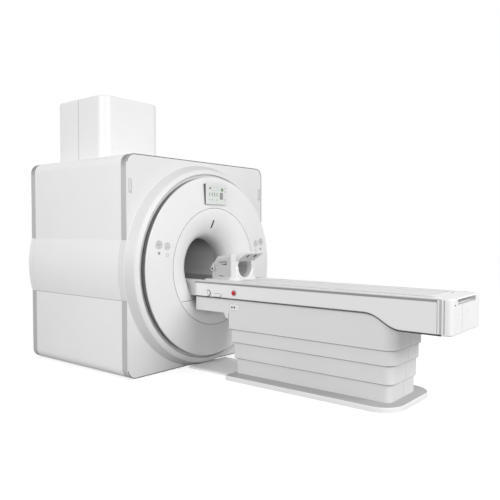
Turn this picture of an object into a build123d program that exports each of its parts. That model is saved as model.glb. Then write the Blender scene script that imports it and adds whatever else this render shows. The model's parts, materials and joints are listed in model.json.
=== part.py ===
from build123d import *
import math
import os

os.makedirs("parts", exist_ok=True)

# Driving dimensions in millimetres.
# X is the width, Y runs along the bore away from the table, Z is up from the floor.

# Magnet enclosure
magnet_width = 2100
magnet_length = 1688
box_corner = 104
drum_bulge = 41
drum_headroom = 46
floor_gap = 6
cover_wall = 6
trim_width = 82
tongue_length = 30
tongue_wall = 4
seam = 1.6
fit_gap = 0.3
bottom_lip = 200

# Front flare, disc and bell mouth
flare_depth = 120
flare_shoulder_drop = 49
flare_rim_drop = 99
flare_shoulder_depth = 96
flare_ledge_depth = 100
flare_ledge_width = 92
flare_round = 7
disc_gap = 32
disc_ring = 335
disc_wall = 6
disc_edge_depth = 168
disc_inner_depth = 192
disc_crown = 3
disc_edge_round = 8
mouth_wall = 6
mouth_length = 280
mouth_tongue = 25
mouth_tongue_gap = 1.3
chin_rise = 287
status_slot_width = 34
status_slot_height = 136
status_slot_depth = 2
status_slot_inset = 45
status_slot_drop = 317
laser_shift = 7.5
laser_length = 90
laser_width = 22

# Patient bore
bore_radius = 300
bore_tube_wall = 5
rear_mouth_flare = 260
rear_mouth_length = 200
bridge_half_width = 325
bridge_floor_gap = 14
bridge_nose_gap = 8
bridge_wall = 8
bridge_gap = 0.5
bridge_ledge = 5
channel_gap = 11
guide_height = 10
guide_width = 25
guide_inset = 35

# Display and control keys on the disc
display_width = 330
display_height = 220
display_inset = 76
display_front_depth = 212
display_back_depth = 150
display_corner = 14
screen_margin = 14
screen_thickness = 3
key_proud = 3
key_thickness = 14
large_key_radius = 46
large_key_inset = 156
large_key_rise = 250
round_key_radius = 41
round_key_inset = 260
round_key_rise = 233

# Turret over the cold head
turret_width = 814
turret_length = 875
turret_height = 710
turret_overlap = 40
turret_rear_inset = 88
turret_corner = 110
turret_edge = 18
turret_wall = 5
turret_flange = 25

# Magnet inside the enclosure
vessel_gap = 91
vessel_floor_gap = 73
vessel_wall = 10
vessel_start = 150
vessel_end_gap = 148
shield_inset = 35
shield_wall = 4
helium_inset = 65
helium_wall = 8
main_coil_count = 6
main_coil_height = 70
main_coil_width = 110
shield_coil_height = 45
shield_coil_width = 80
strut_radius = 12
gradient_wall = 100.5
gradient_end_gap = 20
rf_wall = 38
rf_end_gap = 95
ring_gap = 0.5
quench_radius = 75
quench_wall = 5
quench_side_inset = 220
quench_rear_inset = 300
quench_foot_drop = 120
quench_stub = 40
quench_flange_radius = 105
quench_flange_thickness = 16
cold_head_radius = 80
cold_head_height = 540
cold_head_side_inset = 254
cold_head_front_inset = 285
cold_head_dip = 80
cold_head_drive = 160
port_drop = 53
port_rim = 30
foot_x = 510
foot_width = 150
foot_length = 200
foot_plate = 20
foot_plate_width = 300
anchor_x = 615
anchor_radius = 11
foot_inset = 160

# Patient table: extents measured from the magnet's front face
table_reach = 2886
nose_gap = 21
table_half_width = 335
deck_drop = 128
panel_wall = 6
pan_rise = 10
pan_gap = 10
fairing_height = 164
fairing_drop = 118
wave_length = 340
wave_end_gap = 396
wave_pull = 150
end_cap_depth = 80
trim_top = 26
trim_end = 33
trim_bottom = 12
trim_rise = 3
trim_proud = 3
trim_thickness = 13
trim_round = 26
cap_corner = 45
cap_edge = 12
grip_half_width = 210
grip_height = 42
grip_drop = 7
grip_depth = 46
cradle_half_width = 225
cradle_rise = 10
cradle_dish = 7
cradle_rim_width = 18
cradle_end_gap = 106
cradle_corner = 60
cradle_edge = 3
cradle_side_gap = 15
cradle_front_gap = 5

# Chassis and drive of the table
rail_depth = 185
rail_leg_height = 100
rail_leg_width = 59.7
rail_inset = 10
rail_end_gap = 16
rail_wall = 5
cross_member_count = 5
cross_member_width = 60
cross_member_height = 60
deck_depth = 60
deck_plate = 6
nose_plate = 8
deck_slot = 20
pulley_radius = 24
pulley_width = 44
pulley_flange = 2
pulley_drop = 41
pulley_near_inset = 237
pulley_far_inset = 326
shaft_radius = 8
shaft_gap = 0.05
belt_width = 30
belt_thickness = 3
bearing_thickness = 12
bearing_inner = 30
bearing_drop = 54
motor_radius = 30
motor_length = 96
clamp_half_width = 18
clamp_length = 80
clamp_inset = 150
clamp_depth = 36

# Lift: telescopic skirts and columns
skirt_side_inset = 15
skirt_near_inset = 442
skirt_far_inset = 466
skirt_step = 20
skirt_wall = 5
skirt_far_corner = 125
skirt_near_corner = 15
skirt_gap = 1.0
skirt_lip = 4
skirt_overlap = 10
skirt_shifts = (-4.75, 13.5, 2.75)
neck_drop = 139
neck_round = 55
base_side_margin = 100
base_near_margin = 29
base_far_margin = 50
base_thickness = 45
base_far_corner = 205
base_near_corner = 40
base_edge = 6
base_anchor_x = 200
base_anchor_near_inset = 166
base_anchor_far_inset = 220
base_anchor_radius = 9
duct_half_width = 290
duct_thickness = 20
duct_gap = 0.35
column_near_inset = 425
column_far_inset = 460
column_radius = 85
column_wall = 10
column_gap = 0.5
column_flange = 220
column_flange_thickness = 10
column_head = 200
column_overlap = 100

# Hand controls on the table's left side: distances from the fairing's near end and foot
stop_inset = 529
stop_rise = 68
stop_radius = 21
stop_stem_radius = 12
stop_head = 12
stop_lift = 7
knob_inset = 184
knob_rise = 44
knob_radius = 28
knob_length = 24
knob_stem_radius = 10
latch_inset = 282
latch_rise = 31
latch_reach = 78
latch_width = 30
latch_thickness = 16
stem_overhang = 2.5
socket_panel_length = 129
socket_panel_height = 66
socket_panel_inset = 18
socket_panel_rise = 32
socket_thickness = 3
socket_radius = 8
socket_pitch = 31
socket_inset = 32
socket_rise = 31

# Head coil that rests on the cradle: heights from the cradle's bed
coil_half_width = 150
coil_length = 315
coil_inset = 72
coil_seam_rise = 147
coil_tunnel_radius = 112
coil_tunnel_rise = 138
coil_foot_margin = 38
coil_foot_height = 38
coil_foot_edge = 8
coil_foot_inset = 55
coil_rear_rise = 241
coil_front_rise = 287
coil_slope = 65
coil_pivot_inset = 20
coil_pivot_rise = 114
coil_ear = 8
coil_ear_gap = 0.4
coil_edge = 12
coil_round = 16
coil_lean = 25
coil_foot_corner = 10
coil_pin_radius = 8
coil_cap_radius = 27
coil_cap_length = 14
coil_visor_rise = 88
coil_visor_reach = 128
coil_visor_root = 195
coil_visor_wall = 8
coil_visor_corner = 30

# Places of the enclosure, the disc and the bore, worked out from the driving dimensions
drum_radius = magnet_width / 2 + drum_bulge
vessel_radius = drum_radius - vessel_gap
bore_height = vessel_radius + vessel_floor_gap
magnet_height = bore_height + drum_radius + drum_headroom
face_y = (table_reach - magnet_length) / 2
rear_y = face_y + magnet_length
bore_axis = Axis((0, 0, bore_height), (0, 1, 0))
bulge_rise = math.sqrt(drum_radius**2 - (magnet_width / 2) ** 2)
seam_height = bore_height - bulge_rise
side_covers_y = face_y + trim_width
side_covers_length = magnet_length - 2 * trim_width
flare_shoulder_radius = drum_radius - flare_shoulder_drop
flare_rim_radius = drum_radius - flare_rim_drop
flare_ledge_radius = flare_rim_radius - flare_ledge_width
disc_radius = flare_rim_radius - disc_gap
mouth_radius = disc_radius - disc_ring
mouth_end = face_y - disc_inner_depth + mouth_length
rear_mouth_radius = bore_radius + rear_mouth_flare
rear_tube_end = rear_y - rear_mouth_length
chin_height = bore_height - mouth_radius + chin_rise
laser_low = (bore_radius + mouth_radius - laser_length) / 2 - laser_shift
laser_high = laser_low + laser_length
status_slot_x = magnet_width / 2 - status_slot_inset
status_slot_z = magnet_height - status_slot_drop
display_bottom = bore_height + disc_radius - display_inset - display_height
large_key_x = disc_radius - large_key_inset
large_key_z = bore_height + large_key_rise
round_key_x = disc_radius - round_key_inset
round_key_z = bore_height + round_key_rise

# Places of the magnet and its turret
turret_left = turret_overlap - turret_width
turret_rear = magnet_length - turret_rear_inset
turret_front = turret_rear - turret_length
turret_top = magnet_height + turret_height
turret_x = turret_left + turret_width / 2
turret_y = face_y + (turret_front + turret_rear) / 2
vessel_y = face_y + vessel_start
vessel_length = magnet_length - vessel_start - vessel_end_gap
rf_inner_radius = bore_radius + bore_tube_wall + ring_gap
gradient_inner_radius = rf_inner_radius + rf_wall + ring_gap
vessel_bore_radius = gradient_inner_radius + gradient_wall + ring_gap
gradient_length = vessel_length - 2 * gradient_end_gap
rf_length = vessel_length - 2 * rf_end_gap
neck_x = turret_overlap - quench_side_inset
neck_y = turret_rear - quench_rear_inset
quench_foot = vessel_radius - quench_foot_drop
cold_head_x = turret_left + cold_head_side_inset
cold_head_y = turret_front + cold_head_front_inset
port_top = bore_height + vessel_radius - port_drop

# Places of the table, worked out from its reach, its nose and the height of its deck
table_nose = disc_inner_depth + nose_gap
nose_y = face_y - table_nose
deck_height = bore_height - deck_drop
deck_floor = deck_height - deck_depth
deck_half_width = table_half_width + trim_proud - trim_thickness - fit_gap
ledge_height = deck_height + bridge_ledge
bridge_bottom = bore_height - bore_radius + bridge_floor_gap
guide_inner = cradle_half_width - guide_inset
guide_top = deck_floor + guide_height
cradle_low = guide_top + fit_gap
cradle_rim = deck_height + cradle_rise
cradle_bed = cradle_rim - cradle_dish
cradle_end = table_reach - end_cap_depth - cradle_end_gap
fairing_low = deck_height - fairing_height
trim_height = deck_height + trim_rise
wave_end = table_reach - wave_end_gap
wave_start = wave_end - wave_length
grip_high = deck_height - grip_drop
grip_low = grip_high - grip_height
rail_inner = guide_inner - rail_inset
rail_outer = deck_half_width - panel_wall
rail_low = deck_floor - rail_depth
rail_step = rail_low + rail_leg_height
skirt_half_width = table_half_width - skirt_side_inset
skirt_near = table_nose + skirt_near_inset
skirt_far = table_reach - skirt_far_inset
skirt_top = fairing_low + skirt_overlap
neck_bottom = fairing_low - neck_drop
rail_lower_outer = skirt_half_width - skirt_wall - fit_gap
rail_lower_inner = rail_lower_outer - rail_leg_width
skirt_stage = (neck_bottom - base_thickness) / 4
skirt_bottoms = [base_thickness + (3 - stage) * skirt_stage + skirt_shifts[stage] for stage in range(3)]
pan_near = skirt_far + pan_gap
pulley_near = table_nose + pulley_near_inset
pulley_far = table_reach - pulley_far_inset
pulley_height = deck_floor - pulley_drop
clamp_position = pulley_far - clamp_inset
base_half_width = skirt_half_width + base_side_margin
base_near = skirt_near + base_near_margin
base_far = skirt_far + base_far_margin
base_anchor_near = base_near + base_anchor_near_inset
base_anchor_far = base_far - base_anchor_far_inset
column_near = skirt_near + column_near_inset
column_far = skirt_far - column_far_inset
column_pitch = (column_far - column_near) / 2
column_tube_length = (rail_low - base_thickness + 2 * column_overlap) / 3
column_outer_top = base_thickness + column_tube_length
column_mid_low = column_outer_top - column_overlap
column_mid_top = column_mid_low + column_tube_length
column_inner_low = column_mid_top - column_overlap
flare_slope = flare_shoulder_depth / flare_shoulder_drop
duct_end = flare_slope * (drum_radius - bore_height + duct_thickness) + duct_gap
stop_y = table_nose + stop_inset
stop_z = fairing_low + stop_rise
knob_y = table_nose + knob_inset
knob_z = fairing_low + knob_rise
latch_y = table_nose + latch_inset
latch_z = fairing_low + latch_rise
socket_near = skirt_near + socket_panel_inset
socket_far = socket_near + socket_panel_length
socket_low = neck_bottom + socket_panel_rise
socket_high = socket_low + socket_panel_height
socket_first = socket_near + socket_inset
socket_height = socket_low + socket_rise
coil_rear = table_nose + coil_inset
coil_front = coil_rear + coil_length
coil_seam = cradle_bed + coil_seam_rise
coil_tunnel_height = cradle_bed + coil_tunnel_rise
coil_foot = coil_half_width + coil_foot_margin
coil_top_rear = cradle_bed + coil_rear_rise
coil_top_front = cradle_bed + coil_front_rise
coil_pivot_y = coil_rear + coil_pivot_inset
coil_pivot_z = cradle_bed + coil_pivot_rise
coil_visor_low = cradle_bed + coil_visor_root
table_sides = {"left": -1, "right": 1}


def save(piece, name):
    """Name a finished piece and write it to its own file."""
    piece.part.label = name
    export_step(piece.part, f"parts/{name}.step")


def cross(y):
    """Plane seen from the front at depth y: local x is X, local y is Z."""
    return Plane(origin=(0, y, 0), x_dir=(1, 0, 0), z_dir=(0, -1, 0))


def radial(depth, radius):
    """Point of a turned profile: distance behind the magnet face, and radius."""
    return (face_y + depth, bore_height + radius)


def table_point(distance, height):
    """Point of a side view of the table: distance in front of the magnet face."""
    return (face_y - distance, height)


def enclosure_outline(inset):
    """Front outline of the enclosure: a rounded box joined to the round drum."""
    height = magnet_height - floor_gap
    with Locations((0, floor_gap + height / 2)):
        RectangleRounded(magnet_width - 2 * inset, height - 2 * inset, box_corner - inset)
    with Locations((0, bore_height)):
        Circle(drum_radius - inset)
    with Locations((0, floor_gap + inset)):
        Rectangle(3 * drum_radius, drum_radius, align=(Align.CENTER, Align.MAX), mode=Mode.SUBTRACT)


def enclosure_slab(y, length, inset, mode=Mode.ADD):
    """Prism of the enclosure's outline from y towards the rear."""
    with BuildSketch(cross(y)) as outline:
        enclosure_outline(inset)
    extrude(outline.sketch, amount=-length, mode=mode)


def box_slab(y, length, inset, mode=Mode.ADD):
    """Prism of the plain rounded box, without the drum."""
    height = magnet_height - floor_gap
    with BuildSketch(cross(y)) as outline:
        with Locations((0, floor_gap + height / 2)):
            RectangleRounded(magnet_width - 2 * inset, height - 2 * inset, box_corner - inset)
    extrude(outline.sketch, amount=-length, mode=mode)


def disc_slab(y, length, radius, mode=Mode.ADD):
    """Round prism about the bore axis from y towards the rear."""
    with BuildSketch(cross(y)) as outline:
        with Locations((0, bore_height)):
            Circle(radius)
    extrude(outline.sketch, amount=-length, mode=mode)


def bulge_wings(y):
    """The drum's wall where it stands out of the box, across the trim band's width."""
    with BuildSketch(cross(y)) as ring:
        with Locations((0, bore_height)):
            Circle(drum_radius)
            Circle(drum_radius - cover_wall, mode=Mode.SUBTRACT)
            Rectangle(magnet_width, 3 * drum_radius, mode=Mode.SUBTRACT)
    extrude(ring.sketch, amount=-trim_width)


# Front cover: flat corners, turned flare with its ledge for the disc, white wings at the drum
with BuildPart() as front_cover:
    enclosure_slab(face_y, cover_wall, 0)
    disc_slab(face_y, cover_wall, drum_radius - 2 * cover_wall, Mode.SUBTRACT)
    with BuildSketch(Plane.YZ):
        with BuildLine():
            FilletPolyline(
                radial(0, drum_radius),
                radial(-flare_shoulder_depth, flare_shoulder_radius),
                radial(-flare_depth, flare_rim_radius),
                radial(-flare_ledge_depth, flare_rim_radius - flare_round),
                radial(-flare_ledge_depth, flare_ledge_radius),
                radius=flare_round,
            )
            offset(amount=cover_wall, side=Side.LEFT, closed=True)
        make_face()
    revolve(axis=bore_axis)
    bulge_wings(face_y)
    split(bisect_by=Plane.XY.offset(floor_gap), keep=Keep.TOP)
    with BuildSketch(cross(face_y)):
        with Locations((-status_slot_x, status_slot_z), (status_slot_x, status_slot_z)):
            RectangleRounded(status_slot_width, status_slot_height, status_slot_width / 4)
    extrude(amount=-status_slot_depth, mode=Mode.SUBTRACT)
save(front_cover, "front_cover")


def trim_band(edge_y, inward):
    """Grey band round the box at one end, with a tongue under the side covers.

    edge_y is the band's edge beside the covers, and inward is +1 towards the rear.
    """
    visible = trim_width - cover_wall
    web = 2 * tongue_wall
    band_y = edge_y - visible if inward > 0 else edge_y
    web_y = edge_y - web if inward > 0 else edge_y
    tongue_y = edge_y - web if inward > 0 else edge_y - tongue_length
    inner = cover_wall + fit_gap
    box_slab(tongue_y, tongue_length + web, inner)
    box_slab(web_y, web, 0)
    box_slab(tongue_y, tongue_length + web, inner + tongue_wall, Mode.SUBTRACT)
    box_slab(band_y, visible, 0)
    box_slab(band_y, visible, cover_wall + tongue_wall + fit_gap, Mode.SUBTRACT)
    with Locations((0, edge_y, bore_height)):
        Box(3 * magnet_width, 4 * trim_width, 2 * (bulge_rise + seam), mode=Mode.SUBTRACT)


# Rear cover: flat plate with an opening for the rear mouth and the white wings
with BuildPart() as rear_cover:
    enclosure_slab(rear_y - cover_wall, cover_wall, 0)
    disc_slab(rear_y - cover_wall, cover_wall, rear_mouth_radius + seam, Mode.SUBTRACT)
    bulge_wings(rear_y - trim_width)
save(rear_cover, "rear_cover")

# Perimeter bands at the front and the rear, each an upper and a lower length
with BuildPart() as front_trim:
    trim_band(side_covers_y, 1)
save(front_trim, "front_trim")

with BuildPart() as rear_trim:
    trim_band(rear_y - trim_width, -1)
save(rear_trim, "rear_trim")

# Side covers: upper ones wrap over the top and the drum, lower ones turn under the box
for side, keep in (("left", Keep.BOTTOM), ("right", Keep.TOP)):
    sign = table_sides[side]
    with BuildPart() as upper_cover:
        enclosure_slab(side_covers_y + seam, side_covers_length - 2 * seam, 0)
        enclosure_slab(side_covers_y, side_covers_length, cover_wall, Mode.SUBTRACT)
        split(bisect_by=Plane.YZ.offset(sign * seam / 2), keep=keep)
        split(bisect_by=Plane.XY.offset(seam_height), keep=Keep.TOP)
        with Locations((turret_x, turret_y, magnet_height)):
            Box(turret_width - 4 * turret_flange, turret_length - 4 * turret_flange,
                4 * cover_wall, mode=Mode.SUBTRACT)
    save(upper_cover, f"upper_cover_{side}")

    with BuildPart() as lower_cover:
        enclosure_slab(side_covers_y + seam, side_covers_length - 2 * seam, 0)
        enclosure_slab(side_covers_y, side_covers_length, cover_wall, Mode.SUBTRACT)
        split(bisect_by=Plane.XY.offset(seam_height - seam), keep=Keep.BOTTOM)
        split(bisect_by=Plane.YZ.offset(sign * (magnet_width / 2 - bottom_lip)), keep=keep)
    save(lower_cover, f"lower_cover_{side}")


def disc_front(radius):
    """Depth of the disc's front face in front of the magnet face, at a radius."""
    share = (radius - mouth_radius) / (disc_radius - mouth_radius)
    return disc_inner_depth + (disc_edge_depth - disc_inner_depth) * share + disc_crown


# Face disc: a shallow crowned ring with a deep edge, cut out for the display and the keys
key_places = {
    "large_key": (large_key_x, large_key_z, large_key_radius),
    "round_key": (round_key_x, round_key_z, round_key_radius),
}
with BuildPart() as face_disc:
    with BuildSketch(Plane.YZ) as disc_profile:
        middle = (mouth_radius + disc_radius) / 2
        rim = radial(-disc_edge_depth, disc_radius)
        inner_front = radial(-disc_inner_depth, mouth_radius + seam)
        inner_back = radial(disc_wall - disc_inner_depth, mouth_radius + seam)
        rim_back = radial(disc_wall - disc_edge_depth, disc_radius - disc_wall)
        with BuildLine():
            ThreePointArc(inner_front, radial(-disc_front(middle), middle), rim)
            Polyline(rim, radial(-flare_ledge_depth, disc_radius),
                     radial(-flare_ledge_depth, disc_radius - disc_wall), rim_back)
            ThreePointArc(rim_back, radial(disc_wall - disc_front(middle), middle), inner_back)
            Line(inner_back, inner_front)
        make_face()
        fillet(disc_profile.vertices().sort_by_distance(rim)[0], disc_edge_round)
    revolve(axis=bore_axis)
    with BuildSketch(cross(face_y - disc_inner_depth - 2 * disc_wall)):
        with Locations((0, display_bottom + display_height / 2)):
            RectangleRounded(display_width + 2 * fit_gap, display_height + 2 * fit_gap, display_corner)
        for key_x, key_z, key_radius in key_places.values():
            with Locations((-key_x, key_z), (key_x, key_z)):
                Circle(key_radius + fit_gap)
    extrude(amount=-disc_edge_depth + flare_ledge_depth - 4 * disc_wall, mode=Mode.SUBTRACT)
save(face_disc, "face_disc")

# Display: a proud bezel let into the disc, with the screen set in its front
with BuildPart() as display_housing:
    with BuildSketch(cross(face_y - display_front_depth)):
        with Locations((0, display_bottom + display_height / 2)):
            RectangleRounded(display_width, display_height, display_corner)
    extrude(amount=display_back_depth - display_front_depth)
    fillet(display_housing.faces().sort_by(Axis.Y)[0].edges(), display_corner / 4)
    with BuildSketch(cross(face_y - display_front_depth)):
        with Locations((0, display_bottom + display_height / 2)):
            Rectangle(display_width - 2 * screen_margin, display_height - 2 * screen_margin)
    extrude(amount=-screen_thickness, mode=Mode.SUBTRACT)
    with BuildSketch(cross(face_y - display_back_depth)):
        with Locations((0, display_bottom + display_height / 2)):
            Rectangle(display_width - 2 * screen_margin, display_height - 2 * screen_margin)
    extrude(amount=display_front_depth - display_back_depth - 4 * screen_thickness, mode=Mode.SUBTRACT)
save(display_housing, "display_housing")

with BuildPart() as display_screen:
    with BuildSketch(cross(face_y - display_front_depth)):
        with Locations((0, display_bottom + display_height / 2)):
            Rectangle(display_width - 2 * screen_margin - 2 * fit_gap,
                      display_height - 2 * screen_margin - 2 * fit_gap)
    extrude(amount=-screen_thickness)
save(display_screen, "display_screen")

# Press keys either side of the bore, each a bevelled cap that runs in its hole
for key_name, (key_x, key_z, key_radius) in key_places.items():
    key_front = face_y - disc_front(math.hypot(key_x, key_z - bore_height)) - key_proud
    for side, sign in table_sides.items():
        with BuildPart() as key:
            with BuildSketch(cross(key_front)):
                with Locations((sign * key_x, key_z)):
                    Circle(key_radius)
            extrude(amount=-key_thickness)
            chamfer(key.faces().sort_by(Axis.Y)[0].edges(), key_proud / 2)
            with BuildSketch(cross(key_front)):
                with Locations((sign * key_x, key_z)):
                    Circle(key_radius - 3 * key_proud)
                    Circle(key_radius - 4 * key_proud, mode=Mode.SUBTRACT)
            extrude(amount=-key_proud / 4, mode=Mode.SUBTRACT)
        save(key, f"{key_name}_{side}")


def mouth_wall_profile(first_angle, sweep, skin=0.0):
    """Strip between the mouth's two elliptical arcs: 180 is at the rim, 270 at the bore."""
    centre = radial(mouth_length - disc_inner_depth, mouth_radius)
    front = (mouth_length - skin, mouth_radius - bore_radius - skin)
    back = (mouth_length - mouth_wall, mouth_radius - bore_radius - mouth_wall)
    with BuildLine() as strip:
        outer = EllipticalCenterArc(centre, *front, start_angle=first_angle, arc_size=sweep)
        inner = EllipticalCenterArc(centre, *back, start_angle=first_angle, arc_size=sweep)
        Line(outer @ 0, inner @ 0)
        Line(outer @ 1, inner @ 1)
    return strip.line


# Bell mouth: turned funnel from the disc to the bore, with a hidden tongue behind the disc
def mouth_solid():
    with BuildSketch(Plane.YZ) as profile:
        add(mouth_wall_profile(180, 90))
        make_face()
        tongue_depth = disc_inner_depth - disc_wall - mouth_tongue_gap
        with Locations(radial(-tongue_depth, mouth_radius + mouth_tongue)):
            Rectangle(mouth_wall, 2 * mouth_tongue, align=(Align.MIN, Align.MAX))
        with Locations(radial(mouth_wall / 2 - disc_inner_depth, mouth_radius - mouth_wall)):
            Rectangle(2 * mouth_wall, 2 * mouth_wall, align=(Align.MIN, Align.MAX))
    revolve(profile.sketch, axis=bore_axis)


laser_middle = bore_height + (laser_low + laser_high) / 2
with BuildPart() as bell_mouth:
    mouth_solid()
    split(bisect_by=Plane.XY.offset(chin_height + seam / 2), keep=Keep.TOP)
    with BuildSketch(cross(face_y - disc_inner_depth)):
        with Locations((0, laser_middle)):
            SlotOverall(laser_high - laser_low, laser_width, rotation=90)
    extrude(amount=-disc_inner_depth, mode=Mode.SUBTRACT)
save(bell_mouth, "bell_mouth")

with BuildPart() as bell_mouth_chin:
    mouth_solid()
    split(bisect_by=Plane.XY.offset(chin_height - seam / 2), keep=Keep.BOTTOM)
save(bell_mouth_chin, "bell_mouth_chin")

# Window of the positioning laser, flush in its slot at the top of the mouth
with BuildPart() as laser_window:
    with BuildSketch(Plane.YZ) as profile:
        add(mouth_wall_profile(190, 45, mouth_wall / 6))
        make_face()
    revolve(profile.sketch, axis=bore_axis)
    with BuildSketch(cross(face_y - disc_inner_depth)) as slot:
        with Locations((0, laser_middle)):
            SlotOverall(laser_high - laser_low - 2 * fit_gap, laser_width - 2 * fit_gap, rotation=90)
    extrude(slot.sketch, amount=-disc_inner_depth, mode=Mode.INTERSECT)
save(laser_window, "laser_window")

# Bore liner and the rear mouth
with BuildPart() as bore_tube:
    disc_slab(mouth_end, rear_tube_end - mouth_end, bore_radius + bore_tube_wall)
    disc_slab(mouth_end, rear_tube_end - mouth_end, bore_radius, Mode.SUBTRACT)
save(bore_tube, "bore_tube")

with BuildPart() as rear_bell_mouth:
    with BuildSketch(Plane.YZ) as profile:
        rear_centre = (rear_tube_end, bore_height + rear_mouth_radius)
        rear_rise = rear_mouth_radius - bore_radius
        with BuildLine():
            outer = EllipticalCenterArc(rear_centre, rear_mouth_length, rear_rise,
                                        start_angle=270, arc_size=90)
            inner = EllipticalCenterArc(rear_centre, rear_mouth_length - mouth_wall,
                                        rear_rise - mouth_wall, start_angle=270, arc_size=90)
            Line(outer @ 0, inner @ 0)
            Line(outer @ 1, inner @ 1)
        make_face()
        with Locations((rear_y - cover_wall - fit_gap, bore_height + rear_mouth_radius - 2 * mouth_wall)):
            Rectangle(mouth_wall, mouth_tongue + 2 * mouth_wall, align=(Align.MAX, Align.MIN))
        with Locations((rear_y - mouth_wall / 2, bore_height + rear_mouth_radius - 2 * mouth_wall)):
            Rectangle(2 * mouth_wall, mouth_wall, align=(Align.MAX, Align.MIN))
    revolve(profile.sketch, axis=bore_axis)
save(rear_bell_mouth, "rear_bell_mouth")

# Bridge along the bore's floor, which carries the cradle, with a ledge at each side
with BuildPart() as bore_bridge:
    bridge_y = nose_y + bridge_nose_gap
    bridge_length = rear_tube_end - bridge_y
    channel = cradle_half_width + channel_gap
    with BuildSketch(cross(bridge_y)):
        with Locations((0, bridge_bottom)):
            Rectangle(2 * bridge_half_width, ledge_height - bridge_bottom, align=(Align.CENTER, Align.MIN))
        with Locations((0, deck_floor)):
            Rectangle(2 * channel, ledge_height, align=(Align.CENTER, Align.MIN), mode=Mode.SUBTRACT)
        for side in (-1, 1):
            with Locations((side * (guide_inner + guide_width / 2), deck_floor)):
                Rectangle(guide_width, guide_height, align=(Align.CENTER, Align.MIN))
    extrude(amount=-bridge_length)
    with BuildSketch(Plane.YZ) as free_space:
        arc_end = (mouth_end, bore_height + bore_radius - bridge_gap)
        mouth_front = radial(-disc_inner_depth - bridge_gap, mouth_radius)
        with BuildLine():
            EllipticalCenterArc(
                radial(mouth_length - disc_inner_depth, mouth_radius),
                mouth_length + bridge_gap,
                mouth_radius - bore_radius + bridge_gap,
                start_angle=180,
                arc_size=90,
            )
            Polyline(arc_end, (rear_tube_end, arc_end[1]), (rear_tube_end, bore_height),
                     (nose_y, bore_height), (nose_y, mouth_front[1]), mouth_front)
        make_face()
    revolve(free_space.sketch, axis=bore_axis, mode=Mode.INTERSECT)
    with BuildSketch(cross(bridge_y + bridge_wall)):
        with Locations((0, bore_height)):
            Circle(bore_radius - bridge_wall)
        with Locations((0, (bridge_bottom + deck_floor) / 2)):
            Rectangle(2 * bore_radius, deck_floor - bridge_bottom - 2 * bridge_wall, mode=Mode.INTERSECT)
    extrude(amount=-bridge_length, mode=Mode.SUBTRACT)
save(bore_bridge, "bore_bridge")


def corner_plan(half_width, near, far, near_corner, far_corner, z):
    """Plan outline at height z, with its own corner radii at the near and far ends."""
    with BuildSketch(Plane.XY.offset(z)) as plan:
        with Locations((0, face_y - near)):
            Rectangle(2 * half_width, far - near, align=(Align.CENTER, Align.MAX))
        fillet(plan.vertices().sort_by(Axis.Y)[:2], far_corner)
        if near_corner:
            fillet(plan.vertices().sort_by(Axis.Y)[-2:], near_corner)
    return plan.sketch


def x_block(x_low, x_high, near, far, low, high, mode=Mode.ADD):
    """Plain block between two widths, two distances from the magnet face and two heights."""
    middle = ((x_low + x_high) / 2, face_y - (near + far) / 2, (low + high) / 2)
    with Locations(middle):
        Box(x_high - x_low, far - near, high - low, mode=mode)


# Turret over the cold head: a hollow box with a turned-in foot, halved across the bore
for end, sign, keep in (("front", -1, Keep.TOP), ("rear", 1, Keep.BOTTOM)):
    with BuildPart() as turret_cover:
        with Locations((turret_x, turret_y, magnet_height)):
            Box(turret_width, turret_length, turret_height, align=(Align.CENTER, Align.CENTER, Align.MIN))
        fillet(turret_cover.edges().filter_by(Axis.Z), turret_corner)
        fillet(turret_cover.faces().sort_by(Axis.Z)[-1].edges(), turret_edge)
        with BuildSketch(Plane(origin=(turret_x, turret_y, magnet_height))):
            RectangleRounded(turret_width - 2 * turret_flange, turret_length - 2 * turret_flange,
                             turret_corner - turret_flange)
        extrude(amount=turret_height - turret_wall, mode=Mode.SUBTRACT)
        with BuildSketch(Plane(origin=(turret_x, turret_y, magnet_height + turret_wall))):
            RectangleRounded(turret_width - 2 * turret_wall, turret_length - 2 * turret_wall,
                             turret_corner - turret_wall)
        extrude(amount=turret_height - 2 * turret_wall - turret_edge, mode=Mode.SUBTRACT)
        with Locations((neck_x, face_y + neck_y, turret_top)):
            Cylinder(quench_radius + 1, 4 * turret_edge, mode=Mode.SUBTRACT)
        split(bisect_by=Plane.XZ.offset(-(turret_y + sign * seam / 2)), keep=keep)
    save(turret_cover, f"turret_{end}_cover")


def ring_slab(inset, wall=0.0, mode=Mode.ADD):
    """Annular drum inside the vessel's outline, set in from it on every face."""
    start = vessel_y + inset + wall
    with BuildSketch(cross(start)) as ring:
        with Locations((0, bore_height)):
            Circle(vessel_radius - inset - wall)
            Circle(vessel_bore_radius + inset + wall, mode=Mode.SUBTRACT)
    extrude(ring.sketch, amount=2 * (inset + wall) - vessel_length, mode=mode)


def upright_hole(x, depth, radius):
    """Upright bore from the magnet's upper half out through its top."""
    with Locations((x, face_y + depth, bore_height + vessel_radius)):
        Cylinder(radius, vessel_radius - vessel_bore_radius, mode=Mode.SUBTRACT)


def end_pads(pad_radius, radius, first_angle, inset, mode=Mode.ADD):
    """Short axial struts between an inner drum and the vessel's end walls."""
    reach = vessel_length - 2 * vessel_wall - 2 * fit_gap
    with BuildSketch(cross(vessel_y + vessel_wall + fit_gap)) as pads:
        with Locations((0, bore_height)):
            with PolarLocations(radius, 4, start_angle=first_angle):
                Circle(pad_radius)
    pad_length = inset - vessel_wall - fit_gap + shield_wall / 2
    extrude(pads.sketch, amount=-pad_length, mode=mode)
    with BuildSketch(cross(vessel_y + vessel_wall + fit_gap + reach)) as rear_pads:
        with Locations((0, bore_height)):
            with PolarLocations(radius, 4, start_angle=first_angle):
                Circle(pad_radius)
    extrude(rear_pads.sketch, amount=pad_length, mode=mode)


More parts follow.
